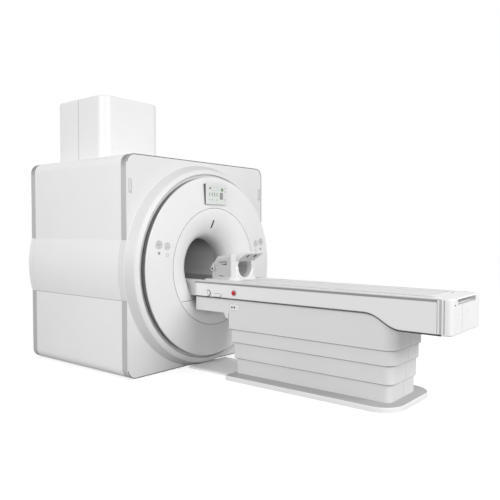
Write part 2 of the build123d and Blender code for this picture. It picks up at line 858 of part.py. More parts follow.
# Magnet: vacuum vessel with the neck bore and the flat port for the cold head
pad_circle = (vessel_radius + vessel_bore_radius) / 2
with BuildPart() as outer_vessel:
    ring_slab(0)
    with Locations((cold_head_x, face_y + cold_head_y, port_top)):
        Cylinder(cold_head_radius + port_rim, vessel_radius - vessel_bore_radius,
                 align=(Align.CENTER, Align.CENTER, Align.MAX))
    ring_slab(0, vessel_wall, Mode.SUBTRACT)
    upright_hole(neck_x, neck_y, quench_radius + fit_gap)
    upright_hole(cold_head_x, cold_head_y, cold_head_radius + fit_gap)
save(outer_vessel, "outer_vessel")

with BuildPart() as thermal_shield:
    ring_slab(shield_inset)
    end_pads(2 * strut_radius, pad_circle, 0, shield_inset)
    ring_slab(shield_inset, shield_wall, Mode.SUBTRACT)
    upright_hole(neck_x, neck_y, quench_radius + shield_wall)
    end_pads(strut_radius + shield_wall, pad_circle, 45, shield_inset + shield_wall, Mode.SUBTRACT)
save(thermal_shield, "thermal_shield")

with BuildPart() as helium_vessel:
    ring_slab(helium_inset)
    end_pads(strut_radius, pad_circle, 45, helium_inset)
    ring_slab(helium_inset, helium_wall, Mode.SUBTRACT)
    upright_hole(neck_x, neck_y, quench_radius + fit_gap)
save(helium_vessel, "helium_vessel")

# Coils of the magnet: main rings on the inner wall, shielding rings under the outer wall
with BuildPart() as magnet_coils:
    former_radius = vessel_bore_radius + helium_inset + helium_wall + fit_gap
    jacket_radius = vessel_radius - helium_inset - helium_wall - fit_gap
    winding_start = helium_inset + helium_wall + fit_gap
    winding_length = vessel_length - 2 * winding_start
    coil_pitch = (winding_length - main_coil_width) / (main_coil_count - 1)
    for index in range(main_coil_count):
        coil_start = vessel_y + winding_start + index * coil_pitch
        disc_slab(coil_start, main_coil_width, former_radius + main_coil_height)
        disc_slab(coil_start, main_coil_width, former_radius, Mode.SUBTRACT)
    for coil_start in (winding_start, winding_start + winding_length - shield_coil_width):
        with BuildSketch(cross(vessel_y + coil_start)):
            with Locations((0, bore_height)):
                Circle(jacket_radius)
                Circle(jacket_radius - shield_coil_height, mode=Mode.SUBTRACT)
        extrude(amount=-shield_coil_width)
save(magnet_coils, "magnet_coils")

# Gradient coil and radio-frequency body coil, one inside the other round the bore liner
with BuildPart() as gradient_coil:
    gradient_y = vessel_y + (vessel_length - gradient_length) / 2
    disc_slab(gradient_y, gradient_length, vessel_bore_radius - ring_gap)
    disc_slab(gradient_y, gradient_length, gradient_inner_radius, Mode.SUBTRACT)
save(gradient_coil, "gradient_coil")

with BuildPart() as rf_body_coil:
    rf_y = vessel_y + (vessel_length - rf_length) / 2
    disc_slab(rf_y, rf_length, rf_inner_radius + rf_wall)
    disc_slab(rf_y, rf_length, rf_inner_radius, Mode.SUBTRACT)
save(rf_body_coil, "rf_body_coil")

# Cold head on its port, with the drive housing above
with BuildPart() as cold_head:
    with Locations((cold_head_x, face_y + cold_head_y, port_top - cold_head_dip)):
        Cylinder(cold_head_radius, cold_head_dip + cold_head_height,
                 align=(Align.CENTER, Align.CENTER, Align.MIN))
    with Locations((cold_head_x, face_y + cold_head_y, port_top)):
        Cylinder(cold_head_radius + port_rim - 5, foot_plate, align=(Align.CENTER, Align.CENTER, Align.MIN))
    with Locations((cold_head_x, face_y + cold_head_y, port_top + cold_head_height - cold_head_drive)):
        Box(2 * cold_head_radius + port_rim, 2 * cold_head_radius + port_rim, cold_head_drive,
            align=(Align.CENTER, Align.CENTER, Align.MIN))
save(cold_head, "cold_head")

# Quench pipe from the helium vessel out through the turret, with an outlet flange
with BuildPart() as quench_pipe:
    pipe_low = bore_height + quench_foot
    with Locations((neck_x, face_y + neck_y, pipe_low)):
        Cylinder(quench_radius, turret_top + quench_stub - pipe_low,
                 align=(Align.CENTER, Align.CENTER, Align.MIN))
    with Locations((neck_x, face_y + neck_y, turret_top + quench_stub)):
        Cylinder(quench_flange_radius, quench_flange_thickness,
                 align=(Align.CENTER, Align.CENTER, Align.MAX))
    with Locations((neck_x, face_y + neck_y, pipe_low)):
        Cylinder(quench_radius - quench_wall, turret_top, align=(Align.CENTER, Align.CENTER, Align.MIN),
                 mode=Mode.SUBTRACT)
save(quench_pipe, "quench_pipe")

# Feet under the magnet, cupped to the vessel, each with an anchor hole outboard
with BuildPart() as magnet_feet:
    for foot_y in (vessel_y + foot_inset, vessel_y + vessel_length - foot_inset):
        for sign in (-1, 1):
            with Locations((sign * foot_x, foot_y, 0)):
                Box(foot_plate_width, foot_length, foot_plate, align=(Align.CENTER, Align.CENTER, Align.MIN))
                Box(foot_width, foot_length, bore_height / 2, align=(Align.CENTER, Align.CENTER, Align.MIN))
            with Locations((sign * anchor_x, foot_y, 0)):
                Cylinder(anchor_radius, 3 * foot_plate, mode=Mode.SUBTRACT)
    disc_slab(vessel_y, vessel_length, vessel_radius + fit_gap, Mode.SUBTRACT)
save(magnet_feet, "magnet_feet")

# Table base plate on the floor, and the flat duct cover that runs on to the magnet
with BuildPart() as base_plate:
    extrude(corner_plan(base_half_width, base_near, base_far, base_near_corner, base_far_corner, 0),
            amount=base_thickness)
    chamfer(base_plate.faces().sort_by(Axis.Z)[-1].edges(), base_edge)
    for anchor_y in (base_anchor_near, base_anchor_far):
        with Locations((-base_anchor_x, face_y - anchor_y, 0), (base_anchor_x, face_y - anchor_y, 0)):
            Cylinder(base_anchor_radius, 3 * base_thickness, mode=Mode.SUBTRACT)
save(base_plate, "base_plate")

with BuildPart() as duct_cover:
    x_block(-duct_half_width, duct_half_width, duct_end, base_near - fit_gap, 0, duct_thickness)
    chamfer(duct_cover.faces().sort_by(Axis.Z)[-1].edges().filter_by(Axis.Y), base_edge)
save(duct_cover, "duct_cover")

# Lift columns: three telescopic tubes in each of two columns
column_places = [(0, face_y - column_near), (0, face_y - column_far)]


def column_tube(radius, wall, low, high):
    """Both tubes of one stage, from one height to another."""
    for column_x, column_y in column_places:
        with Locations((column_x, column_y, low)):
            Cylinder(radius, high - low, align=(Align.CENTER, Align.CENTER, Align.MIN))
            Cylinder(radius - wall, high - low, align=(Align.CENTER, Align.CENTER, Align.MIN),
                     mode=Mode.SUBTRACT)


mid_radius = column_radius - column_wall - column_gap
with BuildPart() as column_outers:
    for column_x, column_y in column_places:
        with Locations((column_x, column_y, base_thickness)):
            Box(column_flange, column_flange, column_flange_thickness,
                align=(Align.CENTER, Align.CENTER, Align.MIN))
    column_tube(column_radius, column_wall, base_thickness, column_outer_top)
save(column_outers, "column_outers")

with BuildPart() as column_mids:
    column_tube(mid_radius, column_wall, column_mid_low, column_mid_top)
save(column_mids, "column_mids")

with BuildPart() as column_inners:
    column_tube(mid_radius - column_wall - column_gap, column_wall, column_inner_low, rail_low)
    for column_x, column_y in column_places:
        with Locations((column_x, column_y, rail_low)):
            Box(column_head, column_head, column_flange_thickness,
                align=(Align.CENTER, Align.CENTER, Align.MAX))
save(column_inners, "column_inners")


def skirt_plan(stage, inset, z):
    """Plan of a skirt: stage 0 is the outermost, and each stage steps inwards."""
    step = stage * skirt_step + inset
    return corner_plan(skirt_half_width - step, skirt_near + step, skirt_far - step,
                       max(skirt_near_corner - inset, 2), skirt_far_corner - step, z)


# Skirts: telescopic shells with a lip at the foot and a flange at the head, halved lengthways
skirt_tops = [skirt_top] + [bottom + 2 * skirt_lip + fit_gap for bottom in skirt_bottoms]
skirt_lows = skirt_bottoms + [base_thickness]
for stage in range(4):
    low = skirt_lows[stage]
    top = skirt_tops[stage]
    with BuildPart() as skirt:
        extrude(skirt_plan(stage, 0, low), amount=top - low)
        if stage == 0:
            x_block(-skirt_half_width, skirt_half_width, table_nose, skirt_near + neck_round,
                    neck_bottom, top)
            with BuildSketch(Plane.YZ.offset(-skirt_half_width)):
                corner = table_point(skirt_near, neck_bottom)
                with BuildLine():
                    Line(corner, table_point(skirt_near - neck_round, neck_bottom))
                    RadiusArc(table_point(skirt_near - neck_round, neck_bottom),
                              table_point(skirt_near, neck_bottom - neck_round), neck_round)
                    Line(table_point(skirt_near, neck_bottom - neck_round), corner)
                make_face()
            extrude(amount=2 * skirt_half_width)
        else:
            flange_inset = skirt_wall + skirt_gap - skirt_step
            extrude(skirt_plan(stage, flange_inset, top - skirt_lip), amount=skirt_lip)
        if stage < 3:
            extrude(skirt_plan(stage, skirt_wall, low + skirt_lip), amount=top - low, mode=Mode.SUBTRACT)
            extrude(skirt_plan(stage, skirt_step - skirt_gap, low), amount=skirt_lip, mode=Mode.SUBTRACT)
        else:
            extrude(skirt_plan(stage, skirt_wall, low), amount=top - low, mode=Mode.SUBTRACT)
        if stage == 0:
            x_block(skirt_wall - skirt_half_width, skirt_half_width - skirt_wall,
                    table_nose + skirt_wall, skirt_near + 2 * neck_round, neck_bottom + skirt_wall, top,
                    mode=Mode.SUBTRACT)
            x_block(-rail_lower_outer - fit_gap, rail_lower_outer + fit_gap, skirt_far - skirt_far_corner,
                    skirt_far + 1, rail_low - fit_gap, top, mode=Mode.SUBTRACT)
        x_block(-skirt_gap / 3, skirt_gap / 3, table_nose, skirt_far + skirt_step, 0, top,
                mode=Mode.SUBTRACT)
    save(skirt, f"skirt_{stage + 1}")


def rail_outline(margin):
    """Section of both rails: a lower leg, a wide middle and a raised outer shoulder."""
    for inner, outer, low, high in (
        (rail_lower_inner, rail_lower_outer, rail_low + margin, rail_step + margin),
        (rail_inner, rail_outer, rail_step + margin, deck_floor - margin),
        (cradle_half_width + cradle_side_gap, rail_outer, deck_floor - margin,
         deck_height - deck_plate - fit_gap - margin),
    ):
        for side in (-1, 1):
            with Locations((side * (inner + outer) / 2, (low + high) / 2)):
                Rectangle(outer - inner - 2 * margin, high - low)


# Chassis: hollow rails joined by cross members, with deck plates, bearing ears and a nose plate
chassis_near = table_nose + bridge_nose_gap
chassis_far = table_reach - end_cap_depth - rail_end_gap
with BuildPart() as table_chassis:
    with BuildSketch(cross(face_y - chassis_near)):
        rail_outline(0)
        for side in (-1, 1):
            with Locations((side * (guide_inner + guide_width / 2), deck_floor - rail_wall)):
                Rectangle(guide_width, guide_height + rail_wall, align=(Align.CENTER, Align.MIN))
            with Locations((side * (deck_slot + rail_inner + rail_wall) / 2, deck_floor)):
                Rectangle(rail_inner + rail_wall - deck_slot, deck_plate, align=(Align.CENTER, Align.MAX))
    extrude(amount=chassis_far - chassis_near)
    with BuildSketch(cross(face_y - chassis_near)) as hollow:
        rail_outline(rail_wall)
    extrude(hollow.sketch, amount=chassis_far - chassis_near, mode=Mode.SUBTRACT)
    for index in range(cross_member_count):
        member = column_near + (index - 1) * column_pitch
        x_block(-rail_lower_inner - rail_wall / 2, rail_lower_inner + rail_wall / 2,
                member - cross_member_width / 2, member + cross_member_width / 2,
                rail_low, rail_low + cross_member_height)
    x_block(-rail_lower_outer, rail_lower_outer, chassis_near, chassis_near + nose_plate,
            rail_low, deck_floor)
    for pulley_y in (pulley_near, pulley_far):
        for side in (-1, 1):
            ear_x = side * (bearing_inner + bearing_thickness / 2)
            with Locations((ear_x, face_y - pulley_y, deck_floor - deck_plate)):
                Box(bearing_thickness, bearing_drop, bearing_drop,
                    align=(Align.CENTER, Align.CENTER, Align.MAX))
            with Locations((ear_x, face_y - pulley_y, pulley_height)):
                Cylinder(shaft_radius + shaft_gap, 2 * bearing_thickness, rotation=(0, 90, 0),
                         mode=Mode.SUBTRACT)
save(table_chassis, "table_chassis")


def side_outline(near, top, far, bottom, corner):
    """Side view of the table's flank, set in by a margin on each side, its foot in a wave."""
    near_edge = table_nose + near
    far_edge = table_reach - end_cap_depth - far
    high = trim_height - top
    low = fairing_low + bottom
    drop = low - fairing_drop
    with BuildSketch(Plane.YZ) as flank:
        with BuildLine():
            Polyline(table_point(wave_start, low), table_point(near_edge, low),
                     table_point(near_edge, high), table_point(far_edge, high),
                     table_point(far_edge, drop), table_point(wave_end, drop))
            Bezier(table_point(wave_end, drop), table_point(wave_end - wave_pull, drop),
                   table_point(wave_start + wave_pull, low), table_point(wave_start, low))
        make_face()
        fillet(flank.vertices().sort_by_distance(table_point(far_edge, high))[0], corner)
    return flank.sketch


# Fairings: a panel with a turned-in shelf and the deck strip, framed by a separate trim
for side, sign in table_sides.items():
    panel_gap = trim_bottom + fit_gap
    with BuildPart() as fairing:
        outer_x = min(sign * table_half_width, sign * (table_half_width - panel_wall))
        panel = side_outline(panel_gap, trim_top + fit_gap, trim_end + fit_gap, panel_gap, trim_bottom)
        extrude(panel.moved(Location((outer_x, 0, 0))), amount=panel_wall, dir=(1, 0, 0))
        shelf = trim_height - trim_top - fit_gap
        web_inner = rail_outer + fit_gap
        panel_far = table_reach - end_cap_depth - trim_end - fit_gap
        for inner, outer, low, high, near, far in (
            (web_inner, table_half_width, shelf - panel_wall, shelf, table_nose + panel_gap,
             panel_far - trim_bottom),
            (web_inner, deck_half_width, shelf - panel_wall, deck_height, table_nose + panel_gap,
             cradle_end + cradle_front_gap),
            (cradle_half_width + cradle_side_gap, deck_half_width, deck_height - deck_plate, deck_height,
             table_nose + panel_gap, cradle_end + cradle_front_gap),
        ):
            x_block(min(sign * inner, sign * outer), max(sign * inner, sign * outer), near, far, low, high)
        if side == "left":
            for hole_y, hole_z, hole_radius in (
                (stop_y, stop_z, stop_stem_radius + fit_gap),
                (knob_y, knob_z, knob_stem_radius + shaft_gap),
                (latch_y, latch_z, knob_stem_radius + shaft_gap),
            ):
                with Locations((sign * table_half_width, face_y - hole_y, hole_z)):
                    Cylinder(hole_radius, 4 * panel_wall, rotation=(0, 90, 0), mode=Mode.SUBTRACT)
    save(fairing, f"fairing_{side}")

    with BuildPart() as trim:
        frame_x = table_half_width + trim_proud
        frame_low = min(sign * frame_x, sign * (frame_x - trim_thickness))
        frame = side_outline(0, 0, 0, 0, trim_round)
        window = side_outline(trim_bottom, trim_top, trim_end, trim_bottom, trim_bottom)
        extrude(frame.moved(Location((frame_low, 0, 0))), amount=trim_thickness, dir=(1, 0, 0))
        extrude(window.moved(Location((frame_low, 0, 0))), amount=trim_thickness, dir=(1, 0, 0),
                mode=Mode.SUBTRACT)
    save(trim, f"trim_{side}")


def x_rod(radius, x_low, x_high, distance, height, mode=Mode.ADD):
    """Round bar across the table between two widths."""
    with Locations(((x_low + x_high) / 2, face_y - distance, height)):
        Cylinder(radius, x_high - x_low, rotation=(0, 90, 0), mode=mode)


def grip_slab(margin, near, far, mode=Mode.ADD):
    """Round-ended bar across the table's end, which holds or cuts the grip recess."""
    with BuildSketch(cross(face_y - far)) as grip:
        with Locations((0, (grip_low + grip_high) / 2)):
            SlotOverall(2 * (grip_half_width + margin), grip_height + 2 * margin)
    extrude(grip.sketch, amount=near - far, mode=mode)


# End cap: a rounded shell with a grip recess, the rearmost deck and the pan under the overhang
cap_near = table_reach - end_cap_depth + fit_gap
cap_low = fairing_low - fairing_drop
cap_inner = table_half_width - panel_wall
grip_back = table_reach - grip_depth
with BuildPart() as end_cap:
    extrude(corner_plan(table_half_width, cap_near, table_reach, 0, cap_corner, cap_low),
            amount=trim_height - cap_low)
    cap_rims = end_cap.faces().sort_by(Axis.Z)[-1].edges() + end_cap.faces().sort_by(Axis.Z)[0].edges()
    fillet(cap_rims.filter_by(lambda edge: edge.center().Y < face_y - cap_near - 1), cap_edge)
    extrude(corner_plan(cap_inner, cap_near - 1, table_reach - panel_wall, 0,
                        cap_corner - panel_wall, cap_low + panel_wall),
            amount=trim_height - cap_low - 2 * panel_wall, mode=Mode.SUBTRACT)
    grip_slab(panel_wall, grip_back - panel_wall, table_reach - panel_wall / 2)
    grip_slab(0, grip_back, table_reach + 1, Mode.SUBTRACT)
    x_block(-deck_half_width, deck_half_width, cradle_end + cradle_front_gap + fit_gap,
            cap_near + 2 * panel_wall, deck_height - deck_plate, deck_height)
    x_block(-deck_half_width, deck_half_width, pan_near, table_reach - panel_wall / 2,
            cap_low + pan_rise, cap_low + pan_rise + panel_wall)
save(end_cap, "end_cap")

# Cradle: the long tray that slides into the bore, with its rim, runners and clamp seat
with BuildPart() as cradle:
    extrude(corner_plan(cradle_half_width, table_nose, cradle_end, cradle_corner, cradle_corner, cradle_low),
            amount=cradle_rim - cradle_low)
    fillet(cradle.faces().sort_by(Axis.Z)[-1].edges(), cradle_edge)
    extrude(corner_plan(cradle_half_width - cradle_rim_width, table_nose + cradle_rim_width,
                        cradle_end - cradle_rim_width, cradle_corner - cradle_rim_width,
                        cradle_corner - cradle_rim_width, cradle_bed),
            amount=cradle_rim - cradle_bed, mode=Mode.SUBTRACT)
    runner_inner = guide_inner - 2 * panel_wall
    x_block(-runner_inner, runner_inner, table_nose + cradle_corner, cradle_end - cradle_corner,
            cradle_low, cradle_bed - 2 * panel_wall, mode=Mode.SUBTRACT)
    x_block(-2 * clamp_half_width, 2 * clamp_half_width, clamp_position - clamp_length,
            clamp_position + clamp_length, cradle_low, cradle_bed - 2 * panel_wall)
save(cradle, "cradle")

# Belt drive under the deck: two pulleys, a toothless flat belt, its clamp and the motor
for end, distance in (("near", pulley_near), ("far", pulley_far)):
    with BuildPart() as pulley:
        x_rod(pulley_radius, -pulley_width / 2, pulley_width / 2, distance, pulley_height)
        for side in (-1, 1):
            flange_x = side * (pulley_width - pulley_flange) / 2
            x_rod(pulley_radius + belt_thickness, flange_x - pulley_flange / 2,
                  flange_x + pulley_flange / 2, distance, pulley_height)
        x_rod(shaft_radius, -pulley_width, pulley_width, distance, pulley_height)
    save(pulley, f"pulley_{end}")

with BuildPart() as drive_belt:
    with BuildSketch(Plane.YZ.offset(-belt_width / 2)):
        with Locations(table_point((pulley_near + pulley_far) / 2, pulley_height)):
            belt_inner = 2 * (pulley_radius + fit_gap)
            SlotCenterToCenter(pulley_far - pulley_near, belt_inner + 2 * belt_thickness)
            SlotCenterToCenter(pulley_far - pulley_near, belt_inner, mode=Mode.SUBTRACT)
    extrude(amount=belt_width)
save(drive_belt, "drive_belt")

with BuildPart() as belt_clamp:
    belt_top = pulley_height + pulley_radius + fit_gap + belt_thickness
    x_block(-clamp_half_width, clamp_half_width, clamp_position - clamp_length / 2,
            clamp_position + clamp_length / 2, cradle_low - clamp_depth, cradle_low)
    x_block(-belt_width / 2 - fit_gap, belt_width / 2 + fit_gap, clamp_position - clamp_length,
            clamp_position + clamp_length, belt_top - belt_thickness - fit_gap, belt_top + fit_gap,
            mode=Mode.SUBTRACT)
save(belt_clamp, "belt_clamp")

with BuildPart() as drive_motor:
    motor_x = bearing_inner + bearing_thickness + fit_gap
    x_rod(motor_radius, motor_x, motor_x + motor_length, pulley_far, pulley_height)
    x_rod(motor_radius - panel_wall, motor_x, motor_x + motor_length + 2 * panel_wall,
          pulley_far, pulley_height)
    x_rod(shaft_radius + fit_gap, motor_x, motor_x + 2 * panel_wall, pulley_far, pulley_height,
          mode=Mode.SUBTRACT)
save(drive_motor, "drive_motor")

# Hand controls on the left fairing, each with a stem through the panel
control_back = table_half_width - panel_wall - stem_overhang
with BuildPart() as stop_button:
    head_back = table_half_width + stop_lift
    x_rod(stop_radius, -head_back - stop_head, -head_back, stop_y, stop_z)
    fillet(stop_button.faces().sort_by(Axis.X)[0].edges(), stop_head / 2)
    x_rod(stop_stem_radius, -head_back, -control_back, stop_y, stop_z)
save(stop_button, "stop_button")

with BuildPart() as release_knob:
    knob_back = table_half_width + fit_gap
    x_rod(knob_radius, -knob_back - knob_length / 2, -knob_back, knob_y, knob_z)
    fillet(release_knob.faces().sort_by(Axis.X)[0].edges(), knob_length / 8)
    x_block(-knob_back - knob_length, -knob_back - knob_length / 3, knob_y - knob_length / 3,
            knob_y + knob_length / 3, knob_z - knob_radius * 0.9, knob_z + knob_radius * 0.9)
    fillet(release_knob.faces().sort_by(Axis.X)[0].edges(), knob_length / 8)
    x_rod(knob_stem_radius, -knob_back, -control_back, knob_y, knob_z)
save(release_knob, "release_knob")

with BuildPart() as dock_latch:
    with BuildSketch(Plane.YZ.offset(-table_half_width - fit_gap - latch_thickness)):
        with Locations(table_point(latch_y + (latch_reach - latch_width / 2) / 2, latch_z)):
            SlotOverall(latch_reach + latch_width / 2, latch_width)
    extrude(amount=latch_thickness)
    chamfer(dock_latch.faces().sort_by(Axis.X)[0].edges(), latch_thickness / 4)
    x_rod(knob_stem_radius, -table_half_width - fit_gap, -control_back, latch_y, latch_z)
save(dock_latch, "dock_latch")

with BuildPart() as socket_panel:
    with BuildSketch(Plane.YZ.offset(-skirt_half_width - socket_thickness)):
        with Locations(table_point((socket_near + socket_far) / 2, (socket_low + socket_high) / 2)):
            RectangleRounded(socket_far - socket_near, socket_high - socket_low, socket_radius)
        with Locations(table_point(socket_first, socket_height),
                       table_point(socket_first + socket_pitch, socket_height)):
            Circle(socket_radius, mode=Mode.SUBTRACT)
    extrude(amount=socket_thickness)
save(socket_panel, "socket_panel")


# Head coil: a flared base that stands on the cradle and a top that swings up about side pins
def coil_tunnel():
    """Round passage for the head, right through the coil."""
    with BuildSketch(cross(face_y - coil_front - coil_length)) as tunnel:
        with Locations((0, coil_tunnel_height)):
            Circle(coil_tunnel_radius)
    extrude(tunnel.sketch, amount=-3 * coil_length, mode=Mode.SUBTRACT)


with BuildPart() as coil_base:
    base_top = coil_seam - 2 * fit_gap
    swing = base_top - coil_pivot_z
    rear_angle = math.acos((coil_pivot_y - coil_rear) / swing)
    middle_angle = (rear_angle + math.pi / 2) / 2
    with BuildSketch(Plane.YZ.offset(-coil_half_width)):
        with BuildLine():
            rear_top = table_point(coil_rear, coil_pivot_z + swing * math.sin(rear_angle))
            arc_middle = table_point(coil_pivot_y - swing * math.cos(middle_angle),
                                     coil_pivot_z + swing * math.sin(middle_angle))
            arc_end = table_point(coil_pivot_y, base_top)
            ThreePointArc(rear_top, arc_middle, arc_end)
            Polyline(arc_end, table_point(coil_front, base_top), table_point(coil_front, cradle_bed),
                     table_point(coil_rear, cradle_bed), rear_top)
        make_face()
    extrude(amount=2 * coil_half_width)
    foot_near = face_y - coil_rear - coil_foot_inset
    with BuildSketch(cross(foot_near)) as foot:
        with BuildLine():
            Polyline((-coil_foot, cradle_bed), (coil_foot, cradle_bed),
                     (coil_foot, cradle_bed + coil_foot_edge),
                     (coil_half_width, cradle_bed + coil_foot_height),
                     (-coil_half_width, cradle_bed + coil_foot_height),
                     (-coil_foot, cradle_bed + coil_foot_edge), close=True)
        make_face()
    extrude(foot.sketch, amount=coil_length - coil_foot_inset)
    fillet(coil_base.edges().filter_by(Axis.Z).group_by(Axis.X)[0]
           + coil_base.edges().filter_by(Axis.Z).group_by(Axis.X)[-1], coil_foot_corner)
    coil_tunnel()
    for side in (-1, 1):
        ear_outer = coil_half_width + coil_ear
        pin = sorted((side * (coil_half_width - 2), side * (ear_outer + 1)))
        cap = sorted((side * (ear_outer + fit_gap), side * (ear_outer + fit_gap + coil_cap_length)))
        x_rod(coil_pin_radius, *pin, coil_pivot_y, coil_pivot_z)
        x_rod(coil_cap_radius, *cap, coil_pivot_y, coil_pivot_z)
save(coil_base, "coil_base")

with BuildPart() as coil_top:
    with BuildSketch(Plane.YZ.offset(-coil_half_width)):
        with BuildLine():
            Polyline(table_point(coil_rear, coil_seam), table_point(coil_rear, coil_seam + coil_edge),
                     table_point(coil_rear + coil_slope, coil_top_rear),
                     table_point(coil_front + coil_lean, coil_top_front),
                     table_point(coil_front, coil_seam), close=True)
        make_face()
    extrude(amount=2 * coil_half_width)
    upper = coil_top.edges().filter_by(lambda edge: abs(edge.center().X) > coil_half_width - 1
                                       and edge.center().Z > coil_seam + coil_edge + 1
                                       and edge.center().Y > face_y - coil_front - 1)
    fillet(upper, coil_round)
    coil_tunnel()
    for side in (-1, 1):
        ear = sorted((side * (coil_half_width + coil_ear_gap), side * (coil_half_width + coil_ear)))
        root = sorted((side * (coil_half_width - 2), side * (coil_half_width + coil_ear)))
        x_rod(2 * coil_pin_radius, *ear, coil_pivot_y, coil_pivot_z)
        x_block(*ear, coil_pivot_y - 2 * coil_pin_radius, coil_pivot_y + 2 * coil_pin_radius,
                coil_pivot_z, coil_seam + 2 * coil_edge)
        x_block(*root, coil_pivot_y - 2 * coil_pin_radius, coil_pivot_y + 2 * coil_pin_radius,
                coil_seam + coil_edge / 2, coil_seam + coil_edge)
        x_rod(coil_pin_radius + shaft_gap, *ear, coil_pivot_y, coil_pivot_z, mode=Mode.SUBTRACT)
save(coil_top, "coil_top")

with BuildPart() as coil_visor:
    lean = coil_lean / (coil_top_front - coil_seam)
    visor_root = coil_front + lean * (coil_visor_low - coil_seam) + 2 * fit_gap
    visor_slope = math.atan2(coil_visor_rise, coil_visor_reach)
    root_rise = coil_visor_wall / math.cos(visor_slope) / (1 - lean * math.tan(visor_slope))
    tip = (visor_root + coil_visor_reach, coil_visor_low + coil_visor_rise)
    with BuildSketch(Plane.YZ.offset(-coil_half_width)):
        with BuildLine():
            Polyline(table_point(visor_root, coil_visor_low), table_point(*tip),
                     table_point(tip[0] - coil_visor_wall * math.sin(visor_slope),
                                 tip[1] + coil_visor_wall * math.cos(visor_slope)),
                     table_point(visor_root + lean * root_rise, coil_visor_low + root_rise),
                     close=True)
        make_face()
    extrude(amount=2 * coil_half_width)
    tip_y = face_y - visor_root - coil_visor_reach / 2
    tip_corners = coil_visor.edges().filter_by(lambda edge: edge.center().Y < tip_y
                                               and abs(edge.center().X) > coil_half_width - 1
                                               and edge.length < 2 * coil_visor_wall)
    fillet(tip_corners, coil_visor_corner)
save(coil_visor, "coil_visor")
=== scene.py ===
import bpy
import bmesh
import json
import math
from mathutils import Matrix, Vector


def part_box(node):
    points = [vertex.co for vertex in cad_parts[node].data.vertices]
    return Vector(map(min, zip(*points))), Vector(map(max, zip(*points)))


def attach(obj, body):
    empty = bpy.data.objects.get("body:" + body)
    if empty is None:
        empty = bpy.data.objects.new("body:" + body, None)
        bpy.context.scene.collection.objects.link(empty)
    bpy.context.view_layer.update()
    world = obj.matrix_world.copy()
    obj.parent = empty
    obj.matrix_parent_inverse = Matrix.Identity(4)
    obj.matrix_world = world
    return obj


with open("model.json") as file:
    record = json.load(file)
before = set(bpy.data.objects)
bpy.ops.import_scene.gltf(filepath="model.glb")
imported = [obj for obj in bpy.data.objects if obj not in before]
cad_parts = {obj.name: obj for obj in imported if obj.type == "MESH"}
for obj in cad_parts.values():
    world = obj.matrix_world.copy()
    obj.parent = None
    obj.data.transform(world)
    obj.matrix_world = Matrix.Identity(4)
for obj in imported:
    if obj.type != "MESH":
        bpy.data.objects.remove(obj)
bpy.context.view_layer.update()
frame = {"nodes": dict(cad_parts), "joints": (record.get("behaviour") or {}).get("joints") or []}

scene = bpy.context.scene
nodes = frame["nodes"]

# Places read from the solids, in metres: the corners of each one's box, and the points of the hinges
lowest = {}
highest = {}
for node_name in nodes:
    lowest[node_name], highest[node_name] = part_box(node_name)
hinge = {joint["name"]: joint["pos_m"] for joint in frame["joints"] if "pos_m" in joint}


def middle(node):
    """Middle of a solid's box."""
    return (lowest[node] + highest[node]) / 2


# Walls, roundings and gaps of the solids, which their boxes don't show
COVER_WALL = 0.006
TUBE_WALL = 0.005
MOUTH_TONGUE = 0.025
BOX_CORNER = 0.104
SEAM = 0.0016

# Magnet: the face's plane, the covers' sides, and the round pieces about the bore's axis
FACE_Y = lowest["front_trim"].y - COVER_WALL
MAGNET_SIDE = highest["front_trim"].x
MAGNET_TOP = highest["front_trim"].z
MAGNET_FOOT = lowest["front_trim"].z
DRUM_RADIUS = highest["upper_cover_right"].x
BORE_Z = middle("face_disc").z
DISC_RADIUS = highest["face_disc"].z - BORE_Z
MOUTH_FRONT = lowest["bell_mouth"].y
MOUTH_DEPTH = FACE_Y - MOUTH_FRONT
MOUTH_LENGTH = highest["bell_mouth"].y - MOUTH_FRONT
MOUTH_RADIUS = highest["bell_mouth"].z - BORE_Z - MOUTH_TONGUE
BORE_RADIUS = highest["bore_tube"].x - TUBE_WALL
CHIN_Z = (lowest["bell_mouth"].z + highest["bell_mouth_chin"].z) / 2

SIDES = ((-1, "left"), (1, "right"))


# Materials

CLOUD_SCALE = 2.2
CLOUD_DETAIL = 4.0
CLOUD_LOW = 0.3
CLOUD_HIGH = 0.7
GRAIN_DETAIL = 2.0
GRAIN_DEPTH = 0.0004
ROUGH_SPREAD = 0.05
SMOOTHEST = 0.02
BRUSH_STRETCH = (1, 1, 120)

# Sockets of the colour mixing node: its two colours and its result
MIX_FIRST = 6
MIX_SECOND = 7
MIX_RESULT = 2


def linear(value):
    """A linear colour from an sRGB grey of 0 to 255, or from three of them."""
    values = (value,) * 3 if isinstance(value, (int, float)) else value
    parts = [v / 255 for v in values]
    return [p / 12.92 if p <= 0.04045 else ((p + 0.055) / 1.055) ** 2.4 for p in parts] + [1.0]


def object_place(tree):
    """Output with the object coordinates of a material made by surface()."""
    return next(n for n in tree.nodes if n.type == "TEX_COORD").outputs["Object"]


